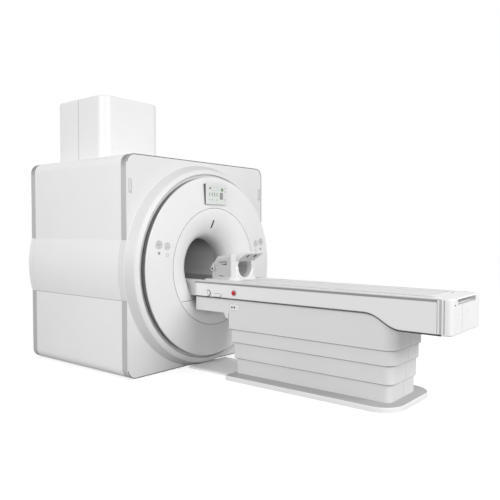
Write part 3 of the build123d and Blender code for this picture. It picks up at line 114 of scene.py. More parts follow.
def surface(name, colour, rough=0.45, vary=0.03, grain=0.0, grain_size=900.0, metal=0.0, coat=0.0):
    """Moulded or painted surface: slow tone changes, fine grain in the bump, uneven roughness."""
    material = bpy.data.materials.new(name)
    material.use_nodes = True
    tree = material.node_tree
    shader = tree.nodes["Principled BSDF"]
    shader.inputs["Metallic"].default_value = metal
    shader.inputs["Coat Weight"].default_value = coat
    place = tree.nodes.new("ShaderNodeTexCoord")
    slow = tree.nodes.new("ShaderNodeTexNoise")
    slow.inputs["Scale"].default_value = CLOUD_SCALE
    slow.inputs["Detail"].default_value = CLOUD_DETAIL
    tree.links.new(place.outputs["Object"], slow.inputs["Vector"])
    tones = tree.nodes.new("ShaderNodeValToRGB")
    base_tone = linear(colour)
    dark, light = tones.color_ramp.elements
    dark.position = CLOUD_LOW
    dark.color = [c * (1 - vary) for c in base_tone[:3]] + [1]
    light.position = CLOUD_HIGH
    light.color = [min(1, c * (1 + vary)) for c in base_tone[:3]] + [1]
    tree.links.new(slow.outputs["Fac"], tones.inputs["Fac"])
    tree.links.new(tones.outputs["Color"], shader.inputs["Base Color"])
    fine = tree.nodes.new("ShaderNodeTexNoise")
    fine.name = "fine"
    fine.inputs["Scale"].default_value = grain_size
    fine.inputs["Detail"].default_value = GRAIN_DETAIL
    tree.links.new(place.outputs["Object"], fine.inputs["Vector"])
    spread = tree.nodes.new("ShaderNodeMapRange")
    spread.inputs["To Min"].default_value = max(rough - ROUGH_SPREAD, SMOOTHEST)
    spread.inputs["To Max"].default_value = rough + ROUGH_SPREAD
    tree.links.new(slow.outputs["Fac"], spread.inputs["Value"])
    tree.links.new(spread.outputs["Result"], shader.inputs["Roughness"])
    bump = tree.nodes.new("ShaderNodeBump")
    bump.inputs["Strength"].default_value = grain
    bump.inputs["Distance"].default_value = GRAIN_DEPTH
    tree.links.new(fine.outputs["Fac"], bump.inputs["Height"])
    tree.links.new(bump.outputs["Normal"], shader.inputs["Normal"])
    return material


def brushed(name, colour):
    """Metal with fine lines along one direction."""
    material = surface(name, colour, rough=0.35, vary=0.05, grain=0.25, grain_size=60.0, metal=1.0)
    tree = material.node_tree
    mapping = tree.nodes.new("ShaderNodeMapping")
    mapping.inputs["Scale"].default_value = BRUSH_STRETCH
    tree.links.new(object_place(tree), mapping.inputs["Vector"])
    tree.links.new(mapping.outputs["Vector"], tree.nodes["fine"].inputs["Vector"])
    return material


def measure(tree, centre, along, across):
    """Distance in object space along a direction, or across it from an axis, as a node output."""
    shift = tree.nodes.new("ShaderNodeVectorMath")
    shift.operation = "SUBTRACT"
    shift.inputs[1].default_value = centre
    tree.links.new(object_place(tree), shift.inputs[0])
    pick = tree.nodes.new("ShaderNodeVectorMath")
    tree.links.new(shift.outputs["Vector"], pick.inputs[0])
    if not across:
        pick.operation = "DOT_PRODUCT"
        pick.inputs[1].default_value = along
        return pick.outputs["Value"]
    pick.operation = "MULTIPLY"
    pick.inputs[1].default_value = [1 - a for a in along]
    size = tree.nodes.new("ShaderNodeVectorMath")
    size.operation = "LENGTH"
    tree.links.new(pick.outputs["Vector"], size.inputs[0])
    return size.outputs["Value"]


def banded(material, centre, along, stops, across=False):
    """Multiplies the tone by a ramp over a distance: stops are (distance in metres, sRGB grey)."""
    tree = material.node_tree
    shader = tree.nodes["Principled BSDF"]
    source = shader.inputs["Base Color"].links[0].from_socket
    first = stops[0][0]
    last = stops[-1][0]
    spread = tree.nodes.new("ShaderNodeMapRange")
    spread.inputs["From Min"].default_value = first
    spread.inputs["From Max"].default_value = last
    tree.links.new(measure(tree, centre, along, across), spread.inputs["Value"])
    ramp = tree.nodes.new("ShaderNodeValToRGB")
    elements = ramp.color_ramp.elements
    while len(elements) < len(stops):
        elements.new(0.5)
    for element, (distance, grey) in zip(elements, stops):
        element.position = (distance - first) / (last - first)
        element.color = linear(grey)
    tree.links.new(spread.outputs["Result"], ramp.inputs["Fac"])
    mix = tree.nodes.new("ShaderNodeMix")
    mix.data_type = "RGBA"
    mix.blend_type = "MULTIPLY"
    mix.inputs["Factor"].default_value = 1.0
    tree.links.new(source, mix.inputs[MIX_FIRST])
    tree.links.new(ramp.outputs["Color"], mix.inputs[MIX_SECOND])
    tree.links.new(mix.outputs[MIX_RESULT], shader.inputs["Base Color"])


cover = surface("cover", 246, rough=0.42, vary=0.01, grain=0.12)
front_white = surface("front_white", 237, rough=0.42, vary=0.01, grain=0.12)
band = surface("band", 196, rough=0.38, vary=0.02, grain=0.08)
disc = surface("disc", 243, rough=0.3, vary=0.012, grain=0.06, coat=0.15)
mouth = surface("mouth", 249, rough=0.3, vary=0.01, grain=0.05, coat=0.2)
liner = surface("liner", 250, rough=0.5, vary=0.02, grain=0.1)
bridge = surface("bridge", 205, rough=0.5, vary=0.02, grain=0.1)
display_body = surface("display_body", 232, rough=0.45, vary=0.02, grain=0.1)
screen = surface("screen", (228, 232, 229), rough=0.25, vary=0.01, coat=0.4)
keycap = surface("keycap", 226, rough=0.4, vary=0.015, grain=0.08)
lens = surface("lens", 30, rough=0.15, vary=0.02)
steel = brushed("steel", 170)
copper = brushed("copper", (190, 120, 80))
resin = surface("resin", (150, 128, 96), rough=0.6, vary=0.06, grain=0.3, grain_size=200)
painted_foot = surface("painted_foot", 120, rough=0.5, vary=0.03, grain=0.2)
base = surface("base", 248, rough=0.45, vary=0.015, grain=0.12)
skirt = surface("skirt", 230, rough=0.5, vary=0.012, grain=0.12)
column = brushed("column", 180)
chassis = surface("chassis", 225, rough=0.5, vary=0.02, grain=0.1)
fairing = surface("fairing", 240, rough=0.45, vary=0.012, grain=0.1)
trim = surface("trim", 250, rough=0.35, vary=0.02, grain=0.05)
cap = surface("cap", 244, rough=0.42, vary=0.01, grain=0.1)
cradle_top = surface("cradle_top", 230, rough=0.5, vary=0.01, grain=0.15)
motor_black = surface("motor_black", 30, rough=0.5, vary=0.05, grain=0.2)
rubber = surface("rubber", 26, rough=0.75, vary=0.05, grain=0.4, grain_size=400)
# Dark grey of real seals, seams, slots and rivets, also used for painted shade and shadow pieces
seal_and_shade = surface("seal_and_shade", 88, rough=0.6, vary=0.04, grain=0.3, grain_size=500)
coil_shell = surface("coil_shell", 240, rough=0.4, vary=0.012, grain=0.1)
coil_panel = surface("coil_panel", 192, rough=0.5, vary=0.02, grain=0.15)
stop_red = surface("stop_red", (200, 20, 28), rough=0.3, vary=0.03, grain=0.03, coat=0.3)
control = surface("control", 240, rough=0.38, vary=0.01, grain=0.05)
# Grey of marks, seams and frames, also used for a painted shade plate in the cap's grip
mark_and_shade_grey = surface("mark_and_shade_grey", 150, rough=0.5, vary=0.03, grain=0.05)
mark_green = surface("mark_green", (128, 150, 120), rough=0.4, vary=0.03, grain=0.05)
mark_live = surface("mark_live", (96, 190, 70), rough=0.3, vary=0.03, grain=0.05)

# Where tones that change over a piece are measured from, and in which direction
FACE = (0, FACE_Y, 0)
AXIS = (0, 0, BORE_Z)
FLOOR = (0, 0, 0)
FORWARD = (0, -1, 0)
BACKWARD = (0, 1, 0)
UP = (0, 0, 1)

# Painted shade: the disc's edge darkened deep in its gap, and the flare's sloping cone round it darkened,
# with its rim and the flat face left bright
DISC_GAP_SHADE = ((0.100, 85), (0.148, 105), (0.158, 235), (0.170, 255))
FLARE_CONE_SHADE = ((0.98, 255), (1.035, 252), (1.048, 236), (1.086, 234), (1.092, 255))
banded(disc, FACE, FORWARD, DISC_GAP_SHADE)
banded(front_white, AXIS, BACKWARD, FLARE_CONE_SHADE, across=True)

# Painted shade: mouth and bore darker inwards, and the bore darker towards its top
LINER_DEPTH_SHADE = ((0.08, 255), (0.30, 255), (0.60, 235), (1.2, 160))
LINER_TOP_SHADE = ((1.08, 255), (1.20, 235), (1.30, 165), (1.37, 80))
MOUTH_DEPTH_SHADE = ((-0.192, 255), (-0.06, 252), (0.02, 232), (0.088, 205))
banded(liner, FACE, BACKWARD, LINER_DEPTH_SHADE)
banded(liner, FLOOR, UP, LINER_TOP_SHADE)
banded(mouth, FACE, BACKWARD, MOUTH_DEPTH_SHADE)

# Painted shade: the display housing's sides grey behind its pale front; and the trim's tones over its
# height
DISPLAY_SIDE_SHADE = ((0.200, 100), (0.2075, 110), (0.2085, 255), (0.213, 255))
# Trim: its grey along the top run, painted shade darker below it, painted shadow near black at its foot,
# and a painted highlight along its top edge
TRIM_GREY_SHADE_HIGHLIGHT = ((0.660, 50), (0.682, 88), (0.910, 105), (0.920, 150), (0.939, 158), (0.942, 225),
              (0.949, 232))
banded(display_body, FACE, FORWARD, DISPLAY_SIDE_SHADE)
banded(trim, FLOOR, UP, TRIM_GREY_SHADE_HIGHLIGHT)

# Painted shade: the magnet's band darker at the top; painted shadow on the base plate's upper face; and
# painted shade on the head coil's shell behind its front rim
BAND_TOP_SHADE = ((2.06, 255), (2.11, 228), (2.16, 178), (2.21, 168))
# Painted shadow of the table on the base plate's upper face
BASE_TOP_SHADOW = ((0.000, 255), (0.0435, 255), (0.0446, 188), (0.050, 188))
# Painted shade on the coil's shell, left white only at its front rim
COIL_SHELL_SHADE = ((0.28, 215), (0.535, 222), (0.548, 255), (0.60, 255))
banded(band, FLOOR, UP, BAND_TOP_SHADE)
banded(base, FLOOR, UP, BASE_TOP_SHADOW)
banded(coil_shell, FACE, FORWARD, COIL_SHELL_SHADE)

finishes = {
    front_white: "front_cover",
    cover: "rear_cover upper_cover_left upper_cover_right lower_cover_left lower_cover_right "
           "turret_front_cover turret_rear_cover rear_bell_mouth",
    band: "front_trim rear_trim",
    disc: "face_disc",
    mouth: "bell_mouth bell_mouth_chin",
    liner: "bore_tube",
    bridge: "bore_bridge",
    display_body: "display_housing",
    screen: "display_screen",
    keycap: "large_key_left large_key_right round_key_left round_key_right",
    lens: "laser_window",
    steel: "outer_vessel helium_vessel thermal_shield cold_head quench_pipe",
    copper: "magnet_coils",
    resin: "gradient_coil rf_body_coil",
    painted_foot: "magnet_feet",
    base: "base_plate duct_cover",
    column: "column_outers column_mids column_inners pulley_near pulley_far",
    skirt: "skirt_1 skirt_2 skirt_3 skirt_4",
    chassis: "table_chassis belt_clamp",
    fairing: "fairing_left fairing_right",
    trim: "trim_left trim_right",
    cap: "end_cap",
    cradle_top: "cradle",
    motor_black: "drive_motor",
    rubber: "drive_belt",
    coil_shell: "coil_base coil_top coil_visor",
    stop_red: "stop_button",
    control: "release_knob dock_latch socket_panel",
}
for finish, names in finishes.items():
    for node_name in names.split():
        slots = nodes[node_name].data.materials
        slots.clear()
        slots.append(finish)


# Small pieces, built as meshes in place

SPLIT_ANGLE = 40
CORNER_STEPS = 5
CIRCLE_STEPS = 32
TURN_STEPS = 40
BEAD_SIDES = 8

# How deep a plate is sunk into what carries it, how far a mark stands proud, and its bevel
SUNK = 0.001
PROUD = 0.0005
THIN = 0.0002
BEVEL = 0.0002
SLIGHT = 0.0001


def add_piece(name, mesh, material, body, smooth=True):
    """Makes a finished piece of a bmesh, which rides on a body."""
    bmesh.ops.recalc_face_normals(mesh, faces=mesh.faces)
    data = bpy.data.meshes.new(name)
    mesh.to_mesh(data)
    mesh.free()
    for polygon in data.polygons:
        polygon.use_smooth = smooth
    data.materials.append(material)
    piece = bpy.data.objects.new(name, data)
    scene.collection.objects.link(piece)
    if smooth:
        split = piece.modifiers.new("edges", "EDGE_SPLIT")
        split.split_angle = math.radians(SPLIT_ANGLE)
    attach(piece, body)


def facing(origin, right, out):
    """Frame whose x runs to the right, y up and z outwards from a surface."""
    right = Vector(right).normalized()
    out = Vector(out).normalized()
    up = out.cross(right)
    place = Matrix((right, up, out)).transposed().to_4x4()
    place.translation = Vector(origin)
    return place


def front(x, z, depth):
    """Frame on a face that looks at the table, at a depth in front of the magnet face."""
    return facing((x, FACE_Y - depth, z), (1, 0, 0), FORWARD)


def front_of(node):
    """Frame in the middle of a solid's front, which looks at the table."""
    return front(middle(node).x, middle(node).z, FACE_Y - lowest[node].y)


def flank(x, distance, z):
    """Frame on a side face, at a distance in front of the magnet face."""
    side = 1 if x > 0 else -1
    return facing((x, FACE_Y - distance, z), (0, side, 0), (side, 0, 0))


def flank_at(point):
    """Frame on a side face, at a point."""
    return flank(point[0], FACE_Y - point[1], point[2])


def join_rings(mesh, lower, upper, turn=0):
    """Closed strip of faces between two rings: turn is the upper point over the first lower one."""
    count = len(lower)
    for k in range(count):
        after = (k + 1) % count
        mesh.faces.new((lower[k], lower[after], upper[(after + turn) % count], upper[(k + turn) % count]))


def slab(outline, place, above, bevel=0.0, hole=None, warp=None, below=SUNK):
    """Bmesh of a flat plate with a bevelled rim: its outline and levels are in the place's frame."""
    mesh = bmesh.new()
    levels = [(-below, 0.0), (above, 0.0)]
    if bevel:
        levels = [(-below, 0.0), (above - bevel, 0.0), (above, bevel)]
    loops = [(outline, 1)]
    if hole:
        loops.append((hole, -1))
    rims = []
    for loop, inward in loops:
        centre = Vector([sum(p[axis] for p in loop) / len(loop) for axis in (0, 1)])
        reach = max((Vector(p) - centre).length for p in loop)
        rows = []
        for level, inset in levels:
            share = inset / reach * inward
            row = []
            for x, y in loop:
                point = place @ Vector((x + (centre.x - x) * share, y + (centre.y - y) * share, level))
                row.append(mesh.verts.new(warp(point) if warp else point))
            rows.append(row)
        rims.append(rows)
        for lower, upper in zip(rows, rows[1:]):
            join_rings(mesh, lower, upper)
    for level in (0, -1):
        if hole:
            join_rings(mesh, rims[0][level], rims[1][level])
        else:
            mesh.faces.new(rims[0][level])
    return mesh


def rounded(width, height, radius, x=0.0, y=0.0):
    """Outline of a rectangle with rounded corners."""
    points = []
    for corner, (sx, sy) in enumerate(((1, 1), (-1, 1), (-1, -1), (1, -1))):
        for step in range(CORNER_STEPS + 1):
            angle = math.radians(90 * corner + 90 * step / CORNER_STEPS)
            points.append((x + sx * (width / 2 - radius) + radius * math.cos(angle),
                           y + sy * (height / 2 - radius) + radius * math.sin(angle)))
    return points


def framed(width, height, radius, frame_width, radius_drop):
    """Outlines of a rounded rectangle and of the opening inside its frame."""
    inner = rounded(width - 2 * frame_width, height - 2 * frame_width, radius - radius_drop)
    return rounded(width, height, radius), inner


def circle(radius, x=0.0, y=0.0):
    """Outline of a circle."""
    angles = [2 * math.pi * k / CIRCLE_STEPS for k in range(CIRCLE_STEPS)]
    return [(x + radius * math.cos(a), y + radius * math.sin(a)) for a in angles]


def arc(radius, first, last, steps, y, x=0.0, z=BORE_Z):
    """Points of an upright arc that faces the table, from one angle in degrees to another."""
    angles = [math.radians(first + (last - first) * k / steps) for k in range(steps + 1)]
    return [(x + radius * math.cos(a), y, z + radius * math.sin(a)) for a in angles]


def straight(start, end, spans):
    """Evenly spaced points from one place to another."""
    return [Vector(start).lerp(Vector(end), k / spans) for k in range(spans + 1)]


def bead(points, radius, closed=False):
    """Bmesh of a round bead that follows a line of points."""
    mesh = bmesh.new()
    points = [Vector(p) for p in points]
    count = len(points)
    angles = [2 * math.pi * k / BEAD_SIDES for k in range(BEAD_SIDES)]
    rows = []
    normal = None
    for i, point in enumerate(points):
        before = points[i - 1] if closed or i else point
        after = points[(i + 1) % count] if closed or i < count - 1 else point
        heading = (after - before).normalized()
        if normal is None:
            normal = heading.orthogonal().normalized()
        normal = (normal - heading * normal.dot(heading)).normalized()
        other = heading.cross(normal)
        rows.append([mesh.verts.new(point + radius * (math.cos(a) * normal + math.sin(a) * other))
                     for a in angles])
    for lower, upper in zip(rows, rows[1:]):
        join_rings(mesh, lower, upper)
    if closed:
        turn = min(range(BEAD_SIDES), key=lambda t: (rows[-1][0].co - rows[0][t].co).length)
        join_rings(mesh, rows[-1], rows[0], turn)
    else:
        mesh.faces.new(rows[0])
        mesh.faces.new(rows[-1])
    return mesh


def turned(profile, place, steps=TURN_STEPS):
    """Bmesh of a shape turned about the place's own z: the profile is (radius, height) pairs."""
    mesh = bmesh.new()
    angles = [2 * math.pi * k / steps for k in range(steps)]
    rows = []
    for radius, height in profile:
        if radius == 0:
            rows.append([mesh.verts.new(place @ Vector((0, 0, height)))])
        else:
            points = [Vector((radius * math.cos(a), radius * math.sin(a), height)) for a in angles]
            rows.append([mesh.verts.new(place @ point) for point in points])
    for lower, upper in zip(rows, rows[1:]):
        for k in range(steps):
            ring = []
            for vert in (lower[k % len(lower)], lower[(k + 1) % len(lower)],
                         upper[(k + 1) % len(upper)], upper[k % len(upper)]):
                if vert not in ring:
                    ring.append(vert)
            if len(ring) > 2:
                mesh.faces.new(ring)
    return mesh


# Seals round the mouth and along its chin, on the throat's ellipse

MOUTH_SEAL_RADIUS = 0.0024
MOUTH_SEAL_SINK = 0.0009
MOUTH_SEAL_STEPS = 180
CHIN_SEAL_RADIUS = 0.0021
CHIN_SEAL_START = 0.0005
CHIN_SEAL_RUN = 0.2445
CHIN_SEAL_EASE = 1.6
CHIN_SEAL_STEPS = 35

# Keeps the chin's half width real where its edge meets the throat's foot
SMALLEST_SQUARE = 1e-6


def throat_radius(depth):
    """Radius of the mouth's elliptical throat, at a depth behind its front."""
    share = 1 - depth / MOUTH_LENGTH
    return MOUTH_RADIUS - (MOUTH_RADIUS - BORE_RADIUS) * math.sqrt(1 - share * share)


mouth_ring = arc(MOUTH_RADIUS + SEAM / 2, 0, 360, MOUTH_SEAL_STEPS, MOUTH_FRONT + MOUTH_SEAL_SINK)[:-1]
add_piece("mouth_seal", bead(mouth_ring, MOUTH_SEAL_RADIUS, True), seal_and_shade, "gantry")


def chin_path(side):
    """Points along the chin's upper edge, from the mouth's front inwards, closer at the front."""
    points = []
    for step in range(CHIN_SEAL_STEPS + 1):
        depth = CHIN_SEAL_START + CHIN_SEAL_RUN * (step / CHIN_SEAL_STEPS) ** CHIN_SEAL_EASE
        square = throat_radius(depth) ** 2 - (BORE_Z - CHIN_Z) ** 2
        points.append((side * math.sqrt(max(square, SMALLEST_SQUARE)), MOUTH_FRONT + depth, CHIN_Z))
    return points


# Seals in the side covers' seams: level along the magnet, and round the drum at both ends

SIDE_SEAL_RADIUS = 0.0018
SIDE_SEAL_SINK = 0.0005
SIDE_SEAL_Z = 0.7762
SIDE_SEAL_END = 0.0004
SIDE_SEAL_SPANS = 12
WING_SEAL_RADIUS = 0.0011
WING_START = 0.001
WING_SINK = 0.0002
WING_STEPS = 40
COVER_FRONT = lowest["upper_cover_left"].y
COVER_REAR = highest["upper_cover_left"].y

side_seal_x = MAGNET_SIDE - SIDE_SEAL_SINK
wing_swing = math.degrees(math.acos((MAGNET_SIDE + WING_START) / (DRUM_RADIUS - WING_SINK)))
for side, name in SIDES:
    add_piece(f"chin_seal_{name}", bead(chin_path(side), CHIN_SEAL_RADIUS), seal_and_shade, "gantry")
    level_path = straight((side * side_seal_x, COVER_FRONT + SIDE_SEAL_END, SIDE_SEAL_Z),
                          (side * side_seal_x, COVER_REAR - SIDE_SEAL_END, SIDE_SEAL_Z),
                          SIDE_SEAL_SPANS)
    add_piece(f"side_seal_{name}", bead(level_path, SIDE_SEAL_RADIUS), seal_and_shade, "gantry")
    for end, end_y in (("front", COVER_FRONT - SEAM / 2), ("rear", COVER_REAR + SEAM / 2)):
        wing = arc(DRUM_RADIUS - WING_SEAL_RADIUS, -wing_swing, wing_swing, WING_STEPS, end_y)
        wing_path = [(side * x, y, z) for x, y, z in wing]
        add_piece(f"wing_seal_{end}_{name}", bead(wing_path, WING_SEAL_RADIUS),
                  mark_and_shade_grey, "gantry")

# Painted shade: a dark line round the face's edge, over the top to the drum on the right, and painted
# shadow along the foot

EDGE_RADIUS = 0.0045
EDGE_SINK = 0.0015
EDGE_INSET = 0.005
EDGE_STEPS = 12
EDGE_WING_TOP = 1.406
EDGE_WING_FOOT = 0.740
EDGE_FOOT_GAP = 0.270
EDGE_X = MAGNET_SIDE - EDGE_INSET
EDGE_Y = FACE_Y + EDGE_SINK
EDGE_TOP = MAGNET_TOP - EDGE_RADIUS
EDGE_FOOT = MAGNET_FOOT + EDGE_RADIUS
EDGE_ROUND = BOX_CORNER - EDGE_RADIUS


def edge_corner(side, level, first, last):
    """Points round one corner of the face: side is -1 or 1, level -1 for the foot and 1 for the top."""
    corner_z = EDGE_TOP - EDGE_ROUND if level > 0 else EDGE_FOOT + EDGE_ROUND
    return arc(EDGE_ROUND, first, last, EDGE_STEPS, EDGE_Y, side * (EDGE_X - EDGE_ROUND), corner_z)


edge_paths = {
    "top": edge_corner(-1, 1, 170, 90) + edge_corner(1, 1, 90, 0) + [(EDGE_X, EDGE_Y, EDGE_WING_TOP)],
    "foot_left": edge_corner(-1, -1, 190, 270) + [(-EDGE_FOOT_GAP, EDGE_Y, EDGE_FOOT)],
    "foot_right": [(EDGE_FOOT_GAP, EDGE_Y, EDGE_FOOT)] + edge_corner(1, -1, 270, 360)
                  + [(EDGE_X, EDGE_Y, EDGE_WING_FOOT)],
}
for name, path in edge_paths.items():
    add_piece(f"face_edge_shade_{name}", bead(path, EDGE_RADIUS), seal_and_shade, "gantry")

# Seam between the turret's two covers

TURRET_SEAM_RADIUS = 0.0026
TURRET_SEAM_SINK = 0.0005
TURRET_SEAM_FOOT = 0.005
TURRET_SEAM_HEAD = 0.020
TURRET_SEAM_SPANS = 8
TURRET_SEAM_Y = (highest["turret_front_cover"].y + lowest["turret_rear_cover"].y) / 2

turret_foot = lowest["turret_front_cover"].z + TURRET_SEAM_FOOT
turret_head = highest["turret_front_cover"].z - TURRET_SEAM_HEAD
for name, x in (("left", lowest["turret_front_cover"].x + TURRET_SEAM_SINK),
                ("right", highest["turret_front_cover"].x - TURRET_SEAM_SINK)):
    upright = straight((x, TURRET_SEAM_Y, turret_foot), (x, TURRET_SEAM_Y, turret_head),
                       TURRET_SEAM_SPANS)
    add_piece(f"turret_seam_{name}", bead(upright, TURRET_SEAM_RADIUS), mark_and_shade_grey, "gantry")

# Status slots on the magnet's front: a frame, a lens and a small mark at the foot

STATUS_INSET = 0.045
STATUS_DROP = 0.317
STATUS_PROUD = 0.0008
STATUS_BEVEL = 0.0004
LENS_LEVEL = -0.0006
LENS_BELOW = 0.0019
STATUS_MARK_LEVEL = -0.0002
STATUS_MARK_BELOW = 0.0007
status_frame, status_opening = framed(0.036, 0.138, 0.010, 0.0025, 0.0015)
status_lens = rounded(0.0305, 0.1325, 0.008)
status_mark = rounded(0.012, 0.007, 0.002, y=-0.052)

for side, name in SIDES:
    place = front(side * (MAGNET_SIDE - STATUS_INSET), MAGNET_TOP - STATUS_DROP, 0.0)
    add_piece(f"status_frame_{name}",
              slab(status_frame, place, STATUS_PROUD, STATUS_BEVEL, status_opening),
              mark_and_shade_grey, "gantry")
    add_piece(f"status_lens_{name}", slab(status_lens, place, LENS_LEVEL, STATUS_BEVEL, below=LENS_BELOW),
              keycap, "gantry")
    add_piece(f"status_mark_{name}", slab(status_mark, place, STATUS_MARK_LEVEL, below=STATUS_MARK_BELOW),
              seal_and_shade, "gantry")

# Marks on the screen: plain blocks. Places are from the screen's middle

BLOCK_PROUD = 0.0004
BLOCK_CORNER = 0.2
BAR_WIDTH = 0.012
BAR_HEIGHT = 0.040
BAR_RISE = -0.002
FIRST_BAR_HEIGHT = 0.034
TAB_X = 0.134
TAB_WIDTH = 0.012
TAB_HEIGHT = 0.014
screen_blocks = [
    ("icon", -0.104, 0.0615, 0.026, 0.024, mark_green),
    ("column", 0.075, -0.0165, 0.052, 0.076, mark_and_shade_grey),
    ("column_head", 0.086, 0.0515, 0.040, 0.034, mark_green),
    ("live_dot", -0.002, -0.061, 0.014, 0.012, mark_live),
    ("idle_dot_1", -0.108, -0.060, 0.012, 0.010, mark_green),
    ("idle_dot_2", -0.064, -0.060, 0.012, 0.010, mark_green),
]
for k, x in enumerate((-0.112, -0.071, -0.034, 0.004)):
    height = BAR_HEIGHT if k else FIRST_BAR_HEIGHT
    screen_blocks.append((f"bar_{k + 1}", x, BAR_RISE, BAR_WIDTH, height, mark_green))
for k, rise in enumerate((0.068, 0.033, -0.055)):
    screen_blocks.append((f"tab_{k + 1}", TAB_X, rise, TAB_WIDTH, TAB_HEIGHT, mark_and_shade_grey))

screen_front = front_of("display_screen")
for name, x, rise, width, height, material in screen_blocks:
    outline = rounded(width, height, min(width, height) * BLOCK_CORNER, x, rise)
    add_piece(f"screen_{name}", slab(outline, screen_front, BLOCK_PROUD, SLIGHT, below=THIN),
              material, "gantry")
window_place = screen_front @ Matrix.Translation((-0.026, 0.059, 0))
window_frame, window_opening = framed(0.108, 0.036, 0.004, 0.002, 0.001)
add_piece("screen_window", slab(window_frame, window_place, BLOCK_PROUD, hole=window_opening, below=THIN),
          mark_and_shade_grey, "gantry")

# Key rings and pictures, and the two small marks under the keys

DISC_FALL = 0.024
DISC_CROWN = 0.012
RING_INSET = 0.0085
RING_WIDTH = 0.0028
ARROW_NEAR = 0.013
ARROW_FAR = 0.029
ARROW_HALF = 0.009
BAR_DROP = -0.005
MARK_SHIFT = 0.002
MARK_DROP = 0.084
FRAME_DROP = 0.087
large_middle = circle(0.007)
round_bar = rounded(0.026, 0.018, 0.004, y=BAR_DROP)
round_bar_opening = rounded(0.020, 0.012, 0.002, y=BAR_DROP)
round_dot = circle(0.0045, y=0.013)
small_mark = rounded(0.026, 0.026, 0.004)
small_frame, small_frame_opening = framed(0.030, 0.030, 0.005, 0.003, 0.001)


def disc_depth(radius):
    """Depth of the face disc's crowned front, in front of the magnet face."""
    share = (radius - MOUTH_RADIUS) / (DISC_RADIUS - MOUTH_RADIUS)
    return MOUTH_DEPTH - DISC_FALL * share + DISC_CROWN * share * (1 - share)


def on_disc(point):
    """Drops a point of a flat plate on to the disc's crowned front."""
    radius = math.hypot(point.x, point.z - BORE_Z)
    return Vector((point.x, point.y - disc_depth(radius), point.z))


def arrow(angle):
    """Triangle that points away from the middle."""
    turn = Matrix.Rotation(math.radians(angle), 2)
    corners = ((ARROW_NEAR, -ARROW_HALF), (ARROW_FAR, 0), (ARROW_NEAR, ARROW_HALF))
    return [tuple(turn @ Vector(p)) for p in corners]


for side, name in SIDES:
    large_key = f"large_key_{name}"
    round_key = f"round_key_{name}"
    large_place = front_of(large_key)
    round_place = front_of(round_key)
    large_body = f"key_large_{name}"
    round_body = f"key_round_{name}"
    for kind, key, place in (("large", large_key, large_place), ("round", round_key, round_place)):
        radius = middle(key).z - lowest[key].z - RING_INSET
        add_piece(f"{kind}_key_ring_{name}",
                  slab(circle(radius), place, PROUD, BEVEL, circle(radius - RING_WIDTH)),
                  mark_and_shade_grey, f"key_{kind}_{name}")
    for k in range(4):
        add_piece(f"large_key_arrow_{k + 1}_{name}", slab(arrow(90 * (k + 1)), large_place, PROUD),
                  mark_and_shade_grey, large_body, smooth=False)
    add_piece(f"large_key_middle_{name}", slab(large_middle, large_place, PROUD, BEVEL),
              mark_and_shade_grey, large_body)
    add_piece(f"round_key_bar_{name}", slab(round_bar, round_place, PROUD, BEVEL, round_bar_opening),
              mark_and_shade_grey, round_body)
    add_piece(f"round_key_dot_{name}", slab(round_dot, round_place, PROUD, SLIGHT),
              mark_and_shade_grey, round_body)
    mark_place = front(middle(large_key).x - side * MARK_SHIFT, middle(large_key).z - MARK_DROP, 0)
    add_piece(f"small_mark_{name}", slab(small_mark, mark_place, PROUD, warp=on_disc),
              mark_and_shade_grey, "gantry")
    frame_place = front(middle(round_key).x, middle(round_key).z - FRAME_DROP, 0)
    add_piece(f"small_frame_{name}",
              slab(small_frame, frame_place, PROUD, hole=small_frame_opening, warp=on_disc),
              mark_and_shade_grey, "gantry")

# Painted shadow: a dark bead under the foot of each moving skirt, and centre seams down the skirts' far
# ends

SKIRT_BODIES = ("table", "skirt_2_stage", "skirt_3_stage", "gantry")
SKIRT_STEP = 0.020
SKIRT_NEAR = 0.655
SKIRT_NEAR_ROUND = 0.015
SKIRT_FAR_ROUND = 0.125
SKIRT_ROUND_STEPS = 8
SKIRT_HALF = highest["skirt_1"].x
SKIRT_FAR = FACE_Y - lowest["skirt_1"].y
SHADOW_BEAD_RADIUS = 0.0028
SHADOW_BEAD_INSET = 0.004
SHADOW_BEAD_DROP = 0.001
SKIRT_SEAM_RADIUS = 0.0014
SKIRT_SEAM_PROUD = 0.0008
SKIRT_SEAM_HEAD = 0.005
SKIRT_SEAM_GAP = 0.001
SKIRT_SEAM_SPANS = 6


def skirt_path(step, z):
    """Plan of the shadow bead under a skirt, as points: step is how far the skirt stands inside the first.
    """
    inset = step + SHADOW_BEAD_INSET
    half = SKIRT_HALF - inset
    near = SKIRT_NEAR + inset
    far = SKIRT_FAR - inset
    near_round = SKIRT_NEAR_ROUND - SHADOW_BEAD_INSET
    far_round = SKIRT_FAR_ROUND - inset
    points = []
    for x, y, radius, start in ((half, near + near_round, near_round, 0),
                                (-half, near + near_round, near_round, 90),
                                (-half, far - far_round, far_round, 180),
                                (half, far - far_round, far_round, 270)):
        corner_x = x - math.copysign(radius, x)
        for k in range(SKIRT_ROUND_STEPS + 1):
            angle = math.radians(start + 90 * k / SKIRT_ROUND_STEPS)
            points.append((corner_x + radius * math.cos(angle), FACE_Y - y + radius * math.sin(angle), z))
    return points


skirt_feet = [lowest[f"skirt_{k + 1}"].z for k in range(len(SKIRT_BODIES))]
for stage, body in enumerate(SKIRT_BODIES[:-1]):
    shadow_bead_path = skirt_path(SKIRT_STEP * stage, skirt_feet[stage] - SHADOW_BEAD_DROP)
    add_piece(f"skirt_shadow_bead_{stage + 1}", bead(shadow_bead_path, SHADOW_BEAD_RADIUS, True), seal_and_shade, body)

seam_heads = [lowest["end_cap"].z + SKIRT_SEAM_HEAD] + [foot - SKIRT_SEAM_GAP for foot in skirt_feet[:-1]]
